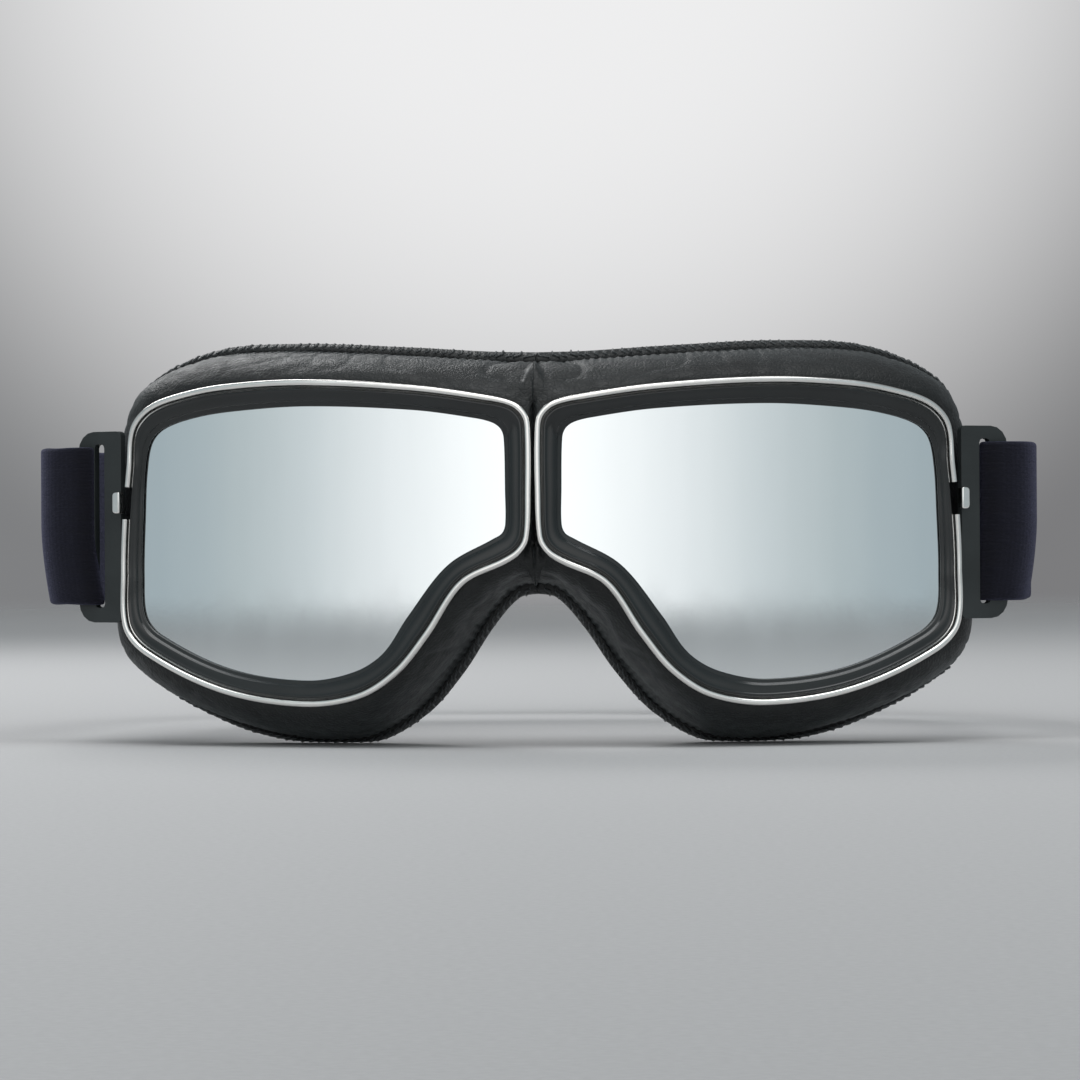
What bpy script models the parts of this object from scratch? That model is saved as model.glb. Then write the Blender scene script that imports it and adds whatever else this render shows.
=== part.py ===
"""Motorcycle goggles: two framed lenses hinged at the nose, on leather cushions, with an elastic strap.

Modelled in metres, +Z up, the front facing -Y. Left is -X, right is +X. Every size below is in millimetres.

Both eye frames lie on one upright cylinder, so a point of a frame is given by three numbers: u, the distance
along the curved front from the centre plane; z, its height; and w, its depth behind the front. Hard rings are
sections (s, w) swept round the rim line, with s outwards from that line. Soft rings are sections (a, w) that
start behind the rim band and end at the cushion's sewn edge.
"""

import math

import bmesh
import bpy
import numpy as np

MM = 0.001
GAP = 0.3
HALF_GAP = 0.5 * GAP

# Front cylinder of the frames
FRONT_RADIUS = 190.0
NOSE_SLOPE = math.radians(4.0)

# Round the right eye, from the nose over the top: rim line (u, z), lens opening (u, z), sewn edge (x, y, z)
STATIONS = (
    ((1.0, 48.0), (5.6, 48.0), (0.15, 16.0, 48.0)),
    ((1.0, 59.0), (5.8, 58.0), (0.15, 16.0, 60.0)),
    ((1.5, 62.2), (6.4, 59.8), (0.15, 17.0, 67.5)),
    ((3.8, 64.4), (8.0, 61.0), (0.15, 18.5, 75.0)),
    ((9.5, 65.8), (11.5, 61.9), (9.5, 20.5, 75.3)),
    ((24.0, 67.8), (24.0, 63.6), (24.0, 24.0, 76.3)),
    ((46.0, 69.1), (46.0, 64.6), (45.0, 28.5, 77.4)),
    ((62.5, 68.5), (61.5, 63.9), (61.0, 33.5, 77.0)),
    ((72.0, 67.1), (70.5, 62.8), (70.5, 38.0, 74.6)),
    ((80.0, 64.7), (78.0, 60.7), (78.5, 42.0, 70.0)),
    ((84.0, 60.8), (81.0, 58.0), (82.0, 44.5, 64.0)),
    ((85.0, 53.0), (82.3, 52.5), (83.2, 46.5, 56.0)),
    ((86.0, 44.0), (82.8, 44.0), (83.8, 47.5, 45.5)),
    ((86.5, 33.0), (83.2, 32.0), (84.2, 47.5, 32.5)),
    ((86.0, 22.0), (82.5, 24.0), (83.4, 46.0, 17.5)),
    ((81.0, 17.0), (78.5, 20.2), (79.0, 43.0, 11.5)),
    ((63.5, 9.8), (62.5, 13.8), (62.0, 35.5, 2.4)),
    ((46.0, 7.3), (46.0, 11.7), (45.0, 31.2, -1.8)),
    ((34.5, 8.9), (36.0, 13.4), (33.0, 29.1, -1.3)),
    ((27.0, 13.5), (30.0, 17.0), (22.5, 27.0, 4.5)),
    ((21.0, 20.6), (25.0, 24.0), (15.0, 23.5, 12.7)),
    ((14.0, 30.5), (17.0, 33.8), (8.8, 20.5, 21.8)),
    ((5.5, 34.7), (8.0, 38.8), (3.8, 19.0, 27.3)),
    ((2.8, 36.5), (6.3, 39.8), (0.15, 18.0, 28.2)),
    ((1.4, 39.0), (5.6, 41.5), (0.15, 16.5, 37.0)),
)
CORNER_STATIONS = (3, 23)
STATION_SPACING = 8.0
FLOOR = -1.2

# Cushion
LEATHER = 1.2
LINING = 1.0
GROOVE_PINCH = 0.2
GROOVE_OUT = -0.9
GROOVE_IN = GROOVE_OUT - LEATHER + GROOVE_PINCH
GROOVE_FRONT = 2.4
LEATHER_TURN = (0.35, 4.95)
ROLL_REACH = 0.62
ROLL_HOLD = 0.5
ROLL_STEPS = (0.2, 0.4, 0.6, 0.8, 1.0)
PAD_WIDTH = 9.0
PAD_CROWN = 1.6
FOAM_FRONT = 8.3
CHAMBER_MOUTH = (-4.4, FOAM_FRONT)
NOSE_LEAN = 1.8
NOSE_SIDE = 6.0
NOSE_BLEND = 16.0

# Hard rings: places across the section, then the sections themselves, (s, w)
RIM_WALL = GROOVE_OUT + GAP
SKIRT_OUT = GROOVE_IN - GAP
SKIRT_IN = SKIRT_OUT - 0.7
LENS_EDGE = SKIRT_IN - GAP
LENS_FRONT = 2.5
LENS_BACK = 4.3
GASKET_FRONT = LENS_BACK + GAP
GASKET_BACK = GASKET_FRONT + 1.0
RETAINER_FRONT = GASKET_BACK + GAP
RETAINER_BACK = RETAINER_FRONT + 2.0
RING_IN = -4.2
RIM_SECTION = (
    (-0.05, 4.6), (RIM_WALL, 4.6), (RIM_WALL, 1.4), (-0.75, 0.9), (-0.5, 0.25),
    (0.0, 0.0), (0.45, 0.25), (0.62, 0.9), (0.4, 1.4), (-0.05, 1.5),
)
FRAME_SECTION = (
    (-1.05, 2.0), (SKIRT_OUT, 2.0), (SKIRT_OUT, 5.0), (SKIRT_IN, 5.0), (SKIRT_IN, 2.2),
    (-4.4, 2.2), (-4.4, 1.6), (-3.4, 0.75), (-2.1, 0.45), (-1.05, 0.9),
)
GASKET_SECTION = (
    (LENS_EDGE, GASKET_FRONT), (LENS_EDGE, GASKET_BACK), (RING_IN, GASKET_BACK), (RING_IN, GASKET_FRONT),
)
RETAINER_SECTION = (
    (SKIRT_OUT, RETAINER_FRONT), (SKIRT_OUT, RETAINER_BACK),
    (RING_IN, RETAINER_BACK), (RING_IN, RETAINER_FRONT),
)

# Split of the rim band, and its clasp, on the temple side
TEMPLE_SIDE = 80.0
CLASP_MIDDLE = 46.3
CLASP_HEIGHT = 4.2
SPLIT_LOW = CLASP_MIDDLE - 0.5 * CLASP_HEIGHT - 2 * GAP
SPLIT_HIGH = CLASP_MIDDLE + 0.5 * CLASP_HEIGHT + 2 * GAP
CLASP_INNER = 86.25
CLASP_WIDTH = 1.7
CLASP_DEPTH = 1.9

# Strap
STRAP_WIDTH = 31.0
STRAP_MIDDLE = 41.8
STRAP_THICK = 1.4
BULGE = 6.0
SIDE_END = 52.0
SIDE_OUT = 97.0
SIDE_HOLD = 70.0
CORNER_HOLD = 45.0
REAR = 172.5
REAR_STRAIGHT = 33.0

# Strap plate, (u, w), with its slot beside the outer bar that the strap turns round
PLATE_INNER = 87.4
PLATE_OUTER = 98.3
PLATE_FRONT = 0.9
PLATE_BACK = 2.4
PLATE_ENDS = (2.9, 2.5)
PLATE_LOW = STRAP_MIDDLE - 0.5 * STRAP_WIDTH - 2 * GAP - PLATE_ENDS[0]
PLATE_HIGH = STRAP_MIDDLE + 0.5 * STRAP_WIDTH + 2 * GAP + PLATE_ENDS[1]
PLATE_CORNER = 4.0
BAR_WIDTH = 4.2
BAR_MIDDLE = 0.5 * (PLATE_FRONT + PLATE_BACK)
BAR_HALF = 0.5 * (PLATE_BACK - PLATE_FRONT)
SLOT_OUTER = PLATE_OUTER - BAR_WIDTH
TURN_CENTRE = SLOT_OUTER + BAR_HALF
TURN_RADIUS = math.hypot(BAR_HALF, BAR_HALF) + HALF_GAP + 0.5 * STRAP_THICK
SLOT_INNER = TURN_CENTRE - TURN_RADIUS - 0.5 * STRAP_THICK - 2 * GAP

# Bridge
WEB_HALF = 0.6
PIN_RADIUS = 0.65
PIN_HOLE = PIN_RADIUS + 0.09
KNUCKLE_RADIUS = PIN_HOLE + 0.66
PIN_X = WEB_HALF + GAP + KNUCKLE_RADIUS
PIN_Y = 10.2
PIN_PROUD = 0.2
BRIDGE_LOW = 37.2
BRIDGE_HIGH = 59.6
BRIDGE_DEPTH = 3.6
LUG_HEIGHT = 4.0
LUG_DEPTH = 2.6
NOSE_TAB = 1.6
NOSE_TAB_FRONT = 5.3
NOSE_TAB_HEIGHT = 1.3

# Room for the hinge in the cushion: beside the knuckles, ahead of the pins, behind them and past each end
LEATHER_POCKET = (1.0, 3.6)
FOAM_POCKET = (2.8, 4.8)
POCKET_BACK = 0.7
POCKET_END = 2 * GAP

# Slider
SLIDER_X = 22.0
SLIDER_HALF = 9.0
SLIDER_BAR = 3.0
SLIDER_THICK = 2.0
SLIDER_RAIL = 2.0
SLIDER_PLAY = 0.7
STRAP_HEM = 12.5

# The origin lies halfway from the rims' front to the slider's back, where the cushion lobes stand on the floor
ORIGIN_DEPTH = 0.5 * (REAR + 0.5 * STRAP_THICK + GAP + SLIDER_THICK)


def material(name, color, metallic=0.0, roughness=0.5, alpha=1.0):
    made = bpy.data.materials.new(name)
    made.use_nodes = True
    shader = made.node_tree.nodes["Principled BSDF"]
    shader.inputs["Base Color"].default_value = (*color, 1.0)
    shader.inputs["Metallic"].default_value = metallic
    shader.inputs["Roughness"].default_value = roughness
    shader.inputs["Alpha"].default_value = alpha
    return made


def add_object(name, points, faces, look, mirrored=False):
    """One closed mesh object from points in millimetres. A mirrored one is reflected in the centre plane."""
    points = np.array(points, float) - (0.0, ORIGIN_DEPTH, FLOOR)
    if mirrored:
        points[:, 0] *= -1.0
    mesh = bpy.data.meshes.new(name)
    mesh.from_pydata((points * MM).tolist(), [], [list(face) for face in faces])
    solid = bmesh.new()
    solid.from_mesh(mesh)
    bmesh.ops.recalc_face_normals(solid, faces=solid.faces)
    solid.to_mesh(mesh)
    solid.free()
    mesh.materials.append(look)
    made = bpy.data.objects.new(name, mesh)
    bpy.context.scene.collection.objects.link(made)
    return made


def cut_or_join(target, tool, operation):
    """Applies one Boolean and removes the tool."""
    step = target.modifiers.new(operation, "BOOLEAN")
    step.operation = operation
    step.solver = "EXACT"
    step.object = tool
    bpy.context.view_layer.objects.active = target
    bpy.ops.object.modifier_apply(modifier=step.name)
    bpy.data.objects.remove(tool, do_unlink=True)


def box(low, high, name="box", look=None):
    points = [(x, y, z) for x in (low[0], high[0]) for y in (low[1], high[1]) for z in (low[2], high[2])]
    faces = [(0, 1, 3, 2), (4, 6, 7, 5), (0, 4, 5, 1), (2, 3, 7, 6), (0, 2, 6, 4), (1, 5, 7, 3)]
    return add_object(name, points, faces, look)


def upright_cylinder(x, y, radius, low, high, name="cylinder", look=None, sides=16):
    turns = np.arange(sides) * (2.0 * math.pi / sides)
    ring = np.stack([x + radius * np.cos(turns), y + radius * np.sin(turns)], 1)
    points = [(*p, low) for p in ring] + [(*p, high) for p in ring]
    faces = [(i, (i + 1) % sides, sides + (i + 1) % sides, sides + i) for i in range(sides)]
    faces += [tuple(range(sides)), tuple(range(2 * sides - 1, sides - 1, -1))]
    return add_object(name, points, faces, look)


def smooth_loop(points, counts, corners=()):
    """Closed curve through the points, as Hermite spans whose tangents follow the neighbours on each side."""
    points = np.array(points, float)
    number = len(points)
    spans = np.linalg.norm(np.roll(points, -1, 0) - points, axis=1)
    found = []
    for i in range(number):
        here, there = points[i], points[(i + 1) % number]
        before, after = points[i - 1], points[(i + 2) % number]
        leave = (there - before) * spans[i] / (spans[i] + spans[i - 1])
        arrive = (after - here) * spans[i] / (spans[i] + spans[(i + 1) % number])
        if i in corners:
            leave = there - here
        if (i + 1) % number in corners:
            arrive = there - here
        for step in range(counts[i]):
            t = step / counts[i]
            found.append(
                (2 * t**3 - 3 * t**2 + 1) * here
                + (t**3 - 2 * t**2 + t) * leave
                + (3 * t**2 - 2 * t**3) * there
                + (t**3 - t**2) * arrive
            )
    return np.array(found)


def wrap(u, z, w):
    """World points of (u, z, w) on the front cylinder."""
    turn = NOSE_SLOPE + np.asarray(u) / FRONT_RADIUS
    x = FRONT_RADIUS * (np.sin(turn) - math.sin(NOSE_SLOPE)) - w * np.sin(turn)
    y = FRONT_RADIUS * (math.cos(NOSE_SLOPE) - np.cos(turn)) + w * np.cos(turn)
    return np.stack([x, y, np.broadcast_to(z, x.shape)], -1)


class Eye:
    """The station lines round the right eye, and the two section frames."""

    def __init__(self):
        rim = np.array([row[0] for row in STATIONS])
        spans = np.linalg.norm(np.roll(rim, -1, 0) - rim, axis=1)
        counts = [max(1, round(span / STATION_SPACING)) for span in spans]
        self.rim = smooth_loop(rim, counts)
        opening = smooth_loop([row[1] for row in STATIONS], counts)
        self.edge = smooth_loop([row[2] for row in STATIONS], counts, CORNER_STATIONS)
        inwards = opening - self.rim
        self.opening_depth = np.linalg.norm(inwards, axis=1)
        self.inwards = inwards / self.opening_depth[:, None]
        start = self.hard(*LEATHER_TURN)
        turn = NOSE_SLOPE + self.flat(LEATHER_TURN[0])[:, 0] / FRONT_RADIUS
        self.back = np.stack([-np.sin(turn), np.cos(turn), np.zeros_like(turn)], 1)
        reach = self.edge - start
        self.edge_w = (reach * self.back).sum(1)
        sideways = reach - self.edge_w[:, None] * self.back
        self.edge_a = np.linalg.norm(sideways, axis=1)
        self.sideways = sideways / self.edge_a[:, None]
        self.start = start
        self.heel = self.inner_heel()

    def inner_heel(self):
        """The face side's inner edge: the chamber wall leans out behind the opening, and in beside the nose."""
        mouth = self.hard(*CHAMBER_MOUTH)
        outwards = self.hard(CHAMBER_MOUTH[0] + 1.0, CHAMBER_MOUTH[1]) - mouth
        self.outwards = outwards / np.linalg.norm(outwards, axis=1)[:, None]
        depth = ((self.edge - mouth) * self.back).sum(1)
        away = np.clip((mouth[:, 0] - NOSE_SIDE) / NOSE_BLEND, 0.0, 1.0)
        lean = away * (self.edge_a - PAD_WIDTH + LEATHER_TURN[0] - CHAMBER_MOUTH[0]) - (1.0 - away) * NOSE_LEAN
        return mouth + self.back * depth[:, None] + self.outwards * lean[:, None]

    def flat(self, s):
        """(u, z) at s from the rim line. Past 1 mm inwards it is stretched so that -4.4 is the opening."""
        inward = -s
        if inward > 1.0:
            inward = 1.0 + (inward - 1.0) * (self.opening_depth - 1.0) / 3.4
        return self.rim + self.inwards * np.reshape(inward, (-1, 1))

    def hard(self, s, w):
        u, z = self.flat(s).T
        return wrap(u, z, w)

    def soft(self, a, w, inset=0.0):
        """World points at a outwards and w behind the leather's turn, held off the centre plane and floor."""
        points = self.start + self.sideways * np.reshape(a, (-1, 1)) + self.back * np.reshape(w, (-1, 1))
        points[:, 0] = np.maximum(points[:, 0], HALF_GAP + inset)
        points[:, 2] = np.maximum(points[:, 2], FLOOR + inset)
        return points

    def face_side(self, inset):
        """Outer, middle and inner lines of the cushion's face side, at inset under its surface."""
        skin = LEATHER + GAP
        outer = self.soft(self.edge_a - skin, self.edge_w, skin)
        middle = 0.5 * (outer + self.heel) + self.back * PAD_CROWN
        inner = self.heel + self.outwards * inset
        return [line - self.back * inset for line in (outer, middle, inner)]

    def roll(self, t, inset):
        """(a, w) on the cushion's rolled outside, a cubic from the turn to the edge, set in by inset."""
        reach_a, reach_w = ROLL_REACH * self.edge_a, ROLL_HOLD * self.edge_w
        a = 3 * (1 - t) ** 2 * t * reach_a + (3 * (1 - t) * t**2 + t**3) * self.edge_a
        w = 3 * (1 - t) * t**2 * (self.edge_w - reach_w) + t**3 * self.edge_w
        slope_a = 3 * (1 - t) ** 2 * reach_a + 6 * (1 - t) * t * (self.edge_a - reach_a)
        slope_w = 6 * (1 - t) * t * (self.edge_w - reach_w) + 3 * t**2 * reach_w
        length = np.hypot(slope_a, slope_w)
        return a - inset * slope_w / length, w + inset * slope_a / length


def ring(name, lines, look, mirrored, closed=True, turned=None):
    """Joins K closed lines of N points each into one ring, or into a split ring with two end caps.

    A thin skin gives turned, the line at which its section turns back. Its two sides are then triangulated
    the same way, so a twisted stretch keeps its thickness.
    """
    lines = np.array(lines)
    across, along = lines.shape[:2]
    faces = []
    for i in range(along if closed else along - 1):
        j = (i + 1) % along
        for k in range(across):
            m = (k + 1) % across
            corners = (k * along + i, m * along + i, m * along + j, k * along + j)
            if turned is None:
                faces.append(corners)
            elif k < turned:
                faces += [corners[:3], (corners[0], *corners[2:])]
            else:
                faces += [(*corners[:2], corners[3]), corners[1:]]
    if not closed:
        faces.append(tuple(k * along for k in range(across)))
        faces.append(tuple(k * along + along - 1 for k in range(across - 1, -1, -1)))
    return add_object(name, lines.reshape(-1, 3), faces, look, mirrored)


def hard_ring(name, eye, section, look, mirrored):
    return ring(name, [eye.hard(s, w) for s, w in section], look, mirrored)


def rim_band(name, eye, look, mirrored):
    """The split band: starts above the split on the temple side and runs round to below it."""
    rim = eye.rim
    temple = rim[:, 0] > TEMPLE_SIDE
    heights = np.where(temple, rim[:, 1], np.inf)
    upper = int(np.argmin(np.where(heights > SPLIT_HIGH, heights, np.inf)))
    number = len(rim)
    lower = (upper + 1) % number
    while rim[lower, 1] > SPLIT_LOW:
        lower = (lower + 1) % number
    order = [(lower + i) % number for i in range((upper - lower) % number + 1)]
    ends = []
    cuts = (((lower - 1) % number, lower, SPLIT_LOW), ((upper + 1) % number, upper, SPLIT_HIGH))
    for outside, inside, height in cuts:
        share = (height - rim[inside, 1]) / (rim[outside, 1] - rim[inside, 1])
        ends.append((outside, inside, share))
    lines = []
    for s, w in RIM_SECTION:
        points = eye.hard(s, w)
        first, last = (
            points[inside] + (points[outside] - points[inside]) * share for outside, inside, share in ends
        )
        lines.append(np.vstack([first, points[order], last]))
    return ring(name, lines, look, mirrored, closed=False)


def lens(name, eye, look, mirrored):
    """A curved sheet: rings of points drawn in towards a centre, front and back, sewn at the edge."""
    outline = eye.flat(LENS_EDGE)
    centre = outline.mean(0)
    shrinks = (1.0, 0.62, 0.28)
    number = len(outline)
    points, faces = [], []
    for w in (LENS_FRONT, LENS_BACK):
        for shrink in shrinks:
            u, z = (centre + (outline - centre) * shrink).T
            points.extend(wrap(u, z, w))
        points.extend(wrap(centre[:1], centre[1], w))
    side = len(shrinks) * number + 1
    for base in (0, side):
        for level in range(len(shrinks) - 1):
            low = base + level * number
            for i in range(number):
                j = (i + 1) % number
                faces.append((low + i, low + j, low + number + j, low + number + i))
        low = base + (len(shrinks) - 1) * number
        faces += [(low + i, low + (i + 1) % number, base + side - 1) for i in range(number)]
    faces += [(i, (i + 1) % number, side + (i + 1) % number, side + i) for i in range(number)]
    return add_object(name, points, faces, look, mirrored)


def leather(name, eye, look, mirrored):
    outer = [eye.hard(GROOVE_OUT, GROOVE_FRONT), eye.hard(GROOVE_OUT, LEATHER_TURN[1]), eye.soft(0.0, 0.0)]
    outer += [eye.soft(*eye.roll(t, 0.0)) for t in ROLL_STEPS]
    inner = [eye.soft(*eye.roll(t, LEATHER), LEATHER) for t in reversed(ROLL_STEPS)]
    inner += [eye.hard(GROOVE_IN, LEATHER_TURN[1] + LEATHER), eye.hard(GROOVE_IN, GROOVE_FRONT)]
    return ring(name, outer + inner, look, mirrored, turned=len(outer))


def foam(name, eye, look, mirrored):
    skin = LEATHER + 1.5 * GAP
    face = eye.face_side(LINING + 1.5 * GAP)
    lines = [eye.hard(GROOVE_IN, LEATHER_TURN[1] + skin)]
    for t in ROLL_STEPS[:-1]:
        a, w = eye.roll(t, skin)
        lines.append(eye.soft(a, np.clip(w, skin, eye.edge_w - LINING - 2 * GAP), skin))
    outside = len(lines)
    lines += face + [eye.hard(SKIRT_IN, FOAM_FRONT), eye.hard(GROOVE_IN, FOAM_FRONT)]
    return ring(name, lines, look, mirrored, turned=outside)


def lining(name, eye, look, mirrored):
    lines = [eye.hard(*CHAMBER_MOUTH)] + eye.face_side(0.0)[::-1] + eye.face_side(LINING)
    lines.append(eye.hard(CHAMBER_MOUTH[0] + LINING - 0.2, CHAMBER_MOUTH[1]))
    return ring(name, lines, look, mirrored, turned=4)


def curved_block(name, outline, front, back, look, mirrored):
    """A block between two depths of the front cylinder, with a (u, z) outline."""
    number = len(outline)
    u, z = np.array(outline).T
    points = np.vstack([wrap(u, z, front), wrap(u, z, back)])
    faces = [(i, (i + 1) % number, number + (i + 1) % number, number + i) for i in range(number)]
    faces += [tuple(range(number)), tuple(range(2 * number - 1, number - 1, -1))]
    return add_object(name, points, faces, look, mirrored)


def rounded_outline(low_u, low_z, high_u, high_z, inner, outer, steps=4):
    """A rectangle in (u, z) whose corners are arcs: inner radius on the low-u side, outer on the other."""
    corners = (
        (high_u, high_z, outer, 0.0), (low_u, high_z, inner, 90.0), (low_u, low_z, inner, 180.0),
        (high_u, low_z, outer, 270.0),
    )
    found = []
    for u, z, radius, start in corners:
        centre_u = u - radius if u == high_u else u + radius
        centre_z = z - radius if z == high_z else z + radius
        for step in range(steps + 1):
            turn = math.radians(start + 90.0 * step / steps)
            found.append((centre_u + radius * math.cos(turn), centre_z + radius * math.sin(turn)))
    return found


def strap_plate(name, look, mirrored):
    outline = rounded_outline(PLATE_INNER, PLATE_LOW, PLATE_OUTER, PLATE_HIGH, 1.0, PLATE_CORNER)
    made = curved_block(name, outline, PLATE_FRONT, PLATE_BACK, look, mirrored)
    half = 0.5 * STRAP_WIDTH + 2 * GAP
    hole = rounded_outline(SLOT_INNER, STRAP_MIDDLE - half, SLOT_OUTER, STRAP_MIDDLE + half, 0.8, 0.8, 2)
    cutter = curved_block("slot", hole, PLATE_FRONT - 2.0, PLATE_BACK + 2.0, look, mirrored)
    cut_or_join(made, cutter, "DIFFERENCE")
    return made


def clasp(name, look, mirrored):
    """A small rounded tab across the split."""
    low, high = CLASP_MIDDLE - 0.5 * CLASP_HEIGHT, CLASP_MIDDLE + 0.5 * CLASP_HEIGHT
    outline = rounded_outline(CLASP_INNER, low, CLASP_INNER + CLASP_WIDTH, high, 0.3, 0.7, 3)
    return curved_block(name, outline, PLATE_FRONT - GAP - CLASP_DEPTH, PLATE_FRONT - GAP, look, mirrored)


def bezier(start, control, other, end, count):
    t = np.linspace(0.0, 1.0, count)[:, None]
    start, control, other, end = (np.array(p, float) for p in (start, control, other, end))
    return (1 - t) ** 3 * start + 3 * (1 - t) ** 2 * t * control + 3 * (1 - t) * t**2 * other + t**3 * end


def band(name, path, look, mirrored=False, width=STRAP_WIDTH):
    """A flat strip on edge that follows a plan path (x, y), STRAP_THICK through."""
    path = np.array(path, float)
    ahead = np.gradient(path, axis=0)
    ahead /= np.linalg.norm(ahead, axis=1)[:, None]
    across = np.stack([-ahead[:, 1], ahead[:, 0]], 1) * 0.5 * STRAP_THICK
    lines = []
    for side, z in ((1, 0.5), (1, -0.5), (-1, -0.5), (-1, 0.5)):
        flat = path + side * across
        lines.append(np.column_stack([flat, np.full(len(flat), STRAP_MIDDLE + z * width)]))
    return ring(name, lines, look, mirrored, closed=False)


def plan(u, w):
    return wrap(np.array([u]), 0.0, w)[0, :2]


def turn_path():
    """Plan of the strap's turn round the right plate's outer bar, from the inner leg to the outer one."""
    inner_x = SIDE_OUT - STRAP_THICK - GAP
    behind, ahead = BAR_MIDDLE + TURN_RADIUS, BAR_MIDDLE - TURN_RADIUS
    inner = bezier(
        (inner_x, SIDE_END), (inner_x - 0.2, SIDE_END - 10.0),
        plan(PLATE_OUTER + BULGE, behind + 0.5 * STRAP_THICK), plan(PLATE_OUTER, behind), 7,
    )
    bend = []
    for step in range(9):
        angle = math.radians(90.0 + 180.0 * step / 8)
        across, back = TURN_RADIUS * math.cos(angle), TURN_RADIUS * math.sin(angle)
        bend.append(plan(TURN_CENTRE + across, BAR_MIDDLE + back))
    outer = bezier(
        plan(PLATE_OUTER, ahead), plan(PLATE_OUTER + BULGE, ahead), (SIDE_OUT + 0.6, SIDE_END - 11.0),
        (SIDE_OUT, SIDE_END), 9,
    )
    return np.vstack([inner, bend, outer])


def side_path(inset, count=12):
    """Plan of one strap layer, from the right side to the end of the straight rear stretch."""
    path = bezier(
        (SIDE_OUT, SIDE_END + GAP), (SIDE_OUT, SIDE_END + SIDE_HOLD), (REAR_STRAIGHT + CORNER_HOLD, REAR),
        (REAR_STRAIGHT, REAR), count,
    )
    ahead = np.gradient(path, axis=0)
    ahead /= np.linalg.norm(ahead, axis=1)[:, None]
    return path + inset * np.stack([-ahead[:, 1], ahead[:, 0]], 1)


def bridge(look_block, look_pin):
    front, back = PIN_Y - 0.5 * BRIDGE_DEPTH, PIN_Y + 0.5 * BRIDGE_DEPTH
    block = box((-WEB_HALF, front, BRIDGE_LOW), (WEB_HALF, back, BRIDGE_HIGH), "bridge_block", look_block)
    tab = box((-NOSE_TAB, NOSE_TAB_FRONT, BRIDGE_LOW), (NOSE_TAB, PIN_Y, BRIDGE_LOW + NOSE_TAB_HEIGHT))
    cut_or_join(block, tab, "UNION")
    for low in (BRIDGE_LOW, BRIDGE_HIGH - LUG_HEIGHT):
        high = low + LUG_HEIGHT
        lug = box((-PIN_X, PIN_Y - 0.5 * LUG_DEPTH, low), (PIN_X, PIN_Y + 0.5 * LUG_DEPTH, high))
        cut_or_join(block, lug, "UNION")
        for x in (-PIN_X, PIN_X):
            cut_or_join(block, upright_cylinder(x, PIN_Y, KNUCKLE_RADIUS, low, high), "UNION")
    for x, side in ((-PIN_X, "left"), (PIN_X, "right")):
        drill = upright_cylinder(x, PIN_Y, PIN_HOLE, BRIDGE_LOW - 1.0, BRIDGE_HIGH + 1.0)
        cut_or_join(block, drill, "DIFFERENCE")
        low, high = BRIDGE_LOW - PIN_PROUD, BRIDGE_HIGH + PIN_PROUD
        upright_cylinder(x, PIN_Y, PIN_RADIUS, low, high, f"{side}_pin", look_pin)


def add_knuckle(retainer, side):
    """The hinge barrel between the bridge's lugs, on the back of the retaining ring."""
    low, high = BRIDGE_LOW + LUG_HEIGHT + GAP, BRIDGE_HIGH - LUG_HEIGHT - GAP
    near, far = sorted((side * PIN_X, side * (PIN_X + KNUCKLE_RADIUS)))
    root = 0.5 * (RETAINER_FRONT + RETAINER_BACK)
    cut_or_join(retainer, box((near, root, low), (far, PIN_Y, high)), "UNION")
    cut_or_join(retainer, upright_cylinder(side * PIN_X, PIN_Y, KNUCKLE_RADIUS, low, high), "UNION")
    cut_or_join(retainer, upright_cylinder(side * PIN_X, PIN_Y, PIN_HOLE, low - 1.0, high + 1.0), "DIFFERENCE")


def hinge_pocket(beside, ahead):
    """The room cut for the hinge in a cushion piece."""
    half, back = PIN_X + KNUCKLE_RADIUS + beside, PIN_Y + KNUCKLE_RADIUS + POCKET_BACK
    return box((-half, PIN_Y - ahead, BRIDGE_LOW - POCKET_END), (half, back, BRIDGE_HIGH + POCKET_END))


def tab_pocket():
    """The room cut for the bridge's nose tab in the leather."""
    half, high = NOSE_TAB + GAP, BRIDGE_LOW + NOSE_TAB_HEIGHT + GAP
    return box((-half, 0.0, BRIDGE_LOW - POCKET_END), (half, PIN_Y, high))


def slider(look):
    """Two outer bars outside the strap, a middle bar inside it, and two rails that join them."""
    half_height = 0.5 * STRAP_WIDTH + SLIDER_PLAY
    low, high = STRAP_MIDDLE - half_height, STRAP_MIDDLE + half_height
    left, right = SLIDER_X - SLIDER_HALF, SLIDER_X + SLIDER_HALF
    outside = REAR + 0.5 * STRAP_THICK + GAP
    inside = REAR - 1.5 * STRAP_THICK - 3 * GAP - SLIDER_THICK
    made = box((left, inside, high), (right, outside + SLIDER_THICK, high + SLIDER_RAIL), "slider", look)
    for x, y in ((left, outside), (right - SLIDER_BAR, outside), (SLIDER_X - 0.5 * SLIDER_BAR, inside)):
        bar = box((x, y, low - 1.0), (x + SLIDER_BAR, y + SLIDER_THICK, high + 1.0))
        cut_or_join(made, bar, "UNION")
    rail = box((left, inside, low - SLIDER_RAIL), (right, outside + SLIDER_THICK, low))
    cut_or_join(made, rail, "UNION")
    soften = made.modifiers.new("soften", "BEVEL")
    soften.width = 0.4 * MM
    soften.segments = 1
    return inside


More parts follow.
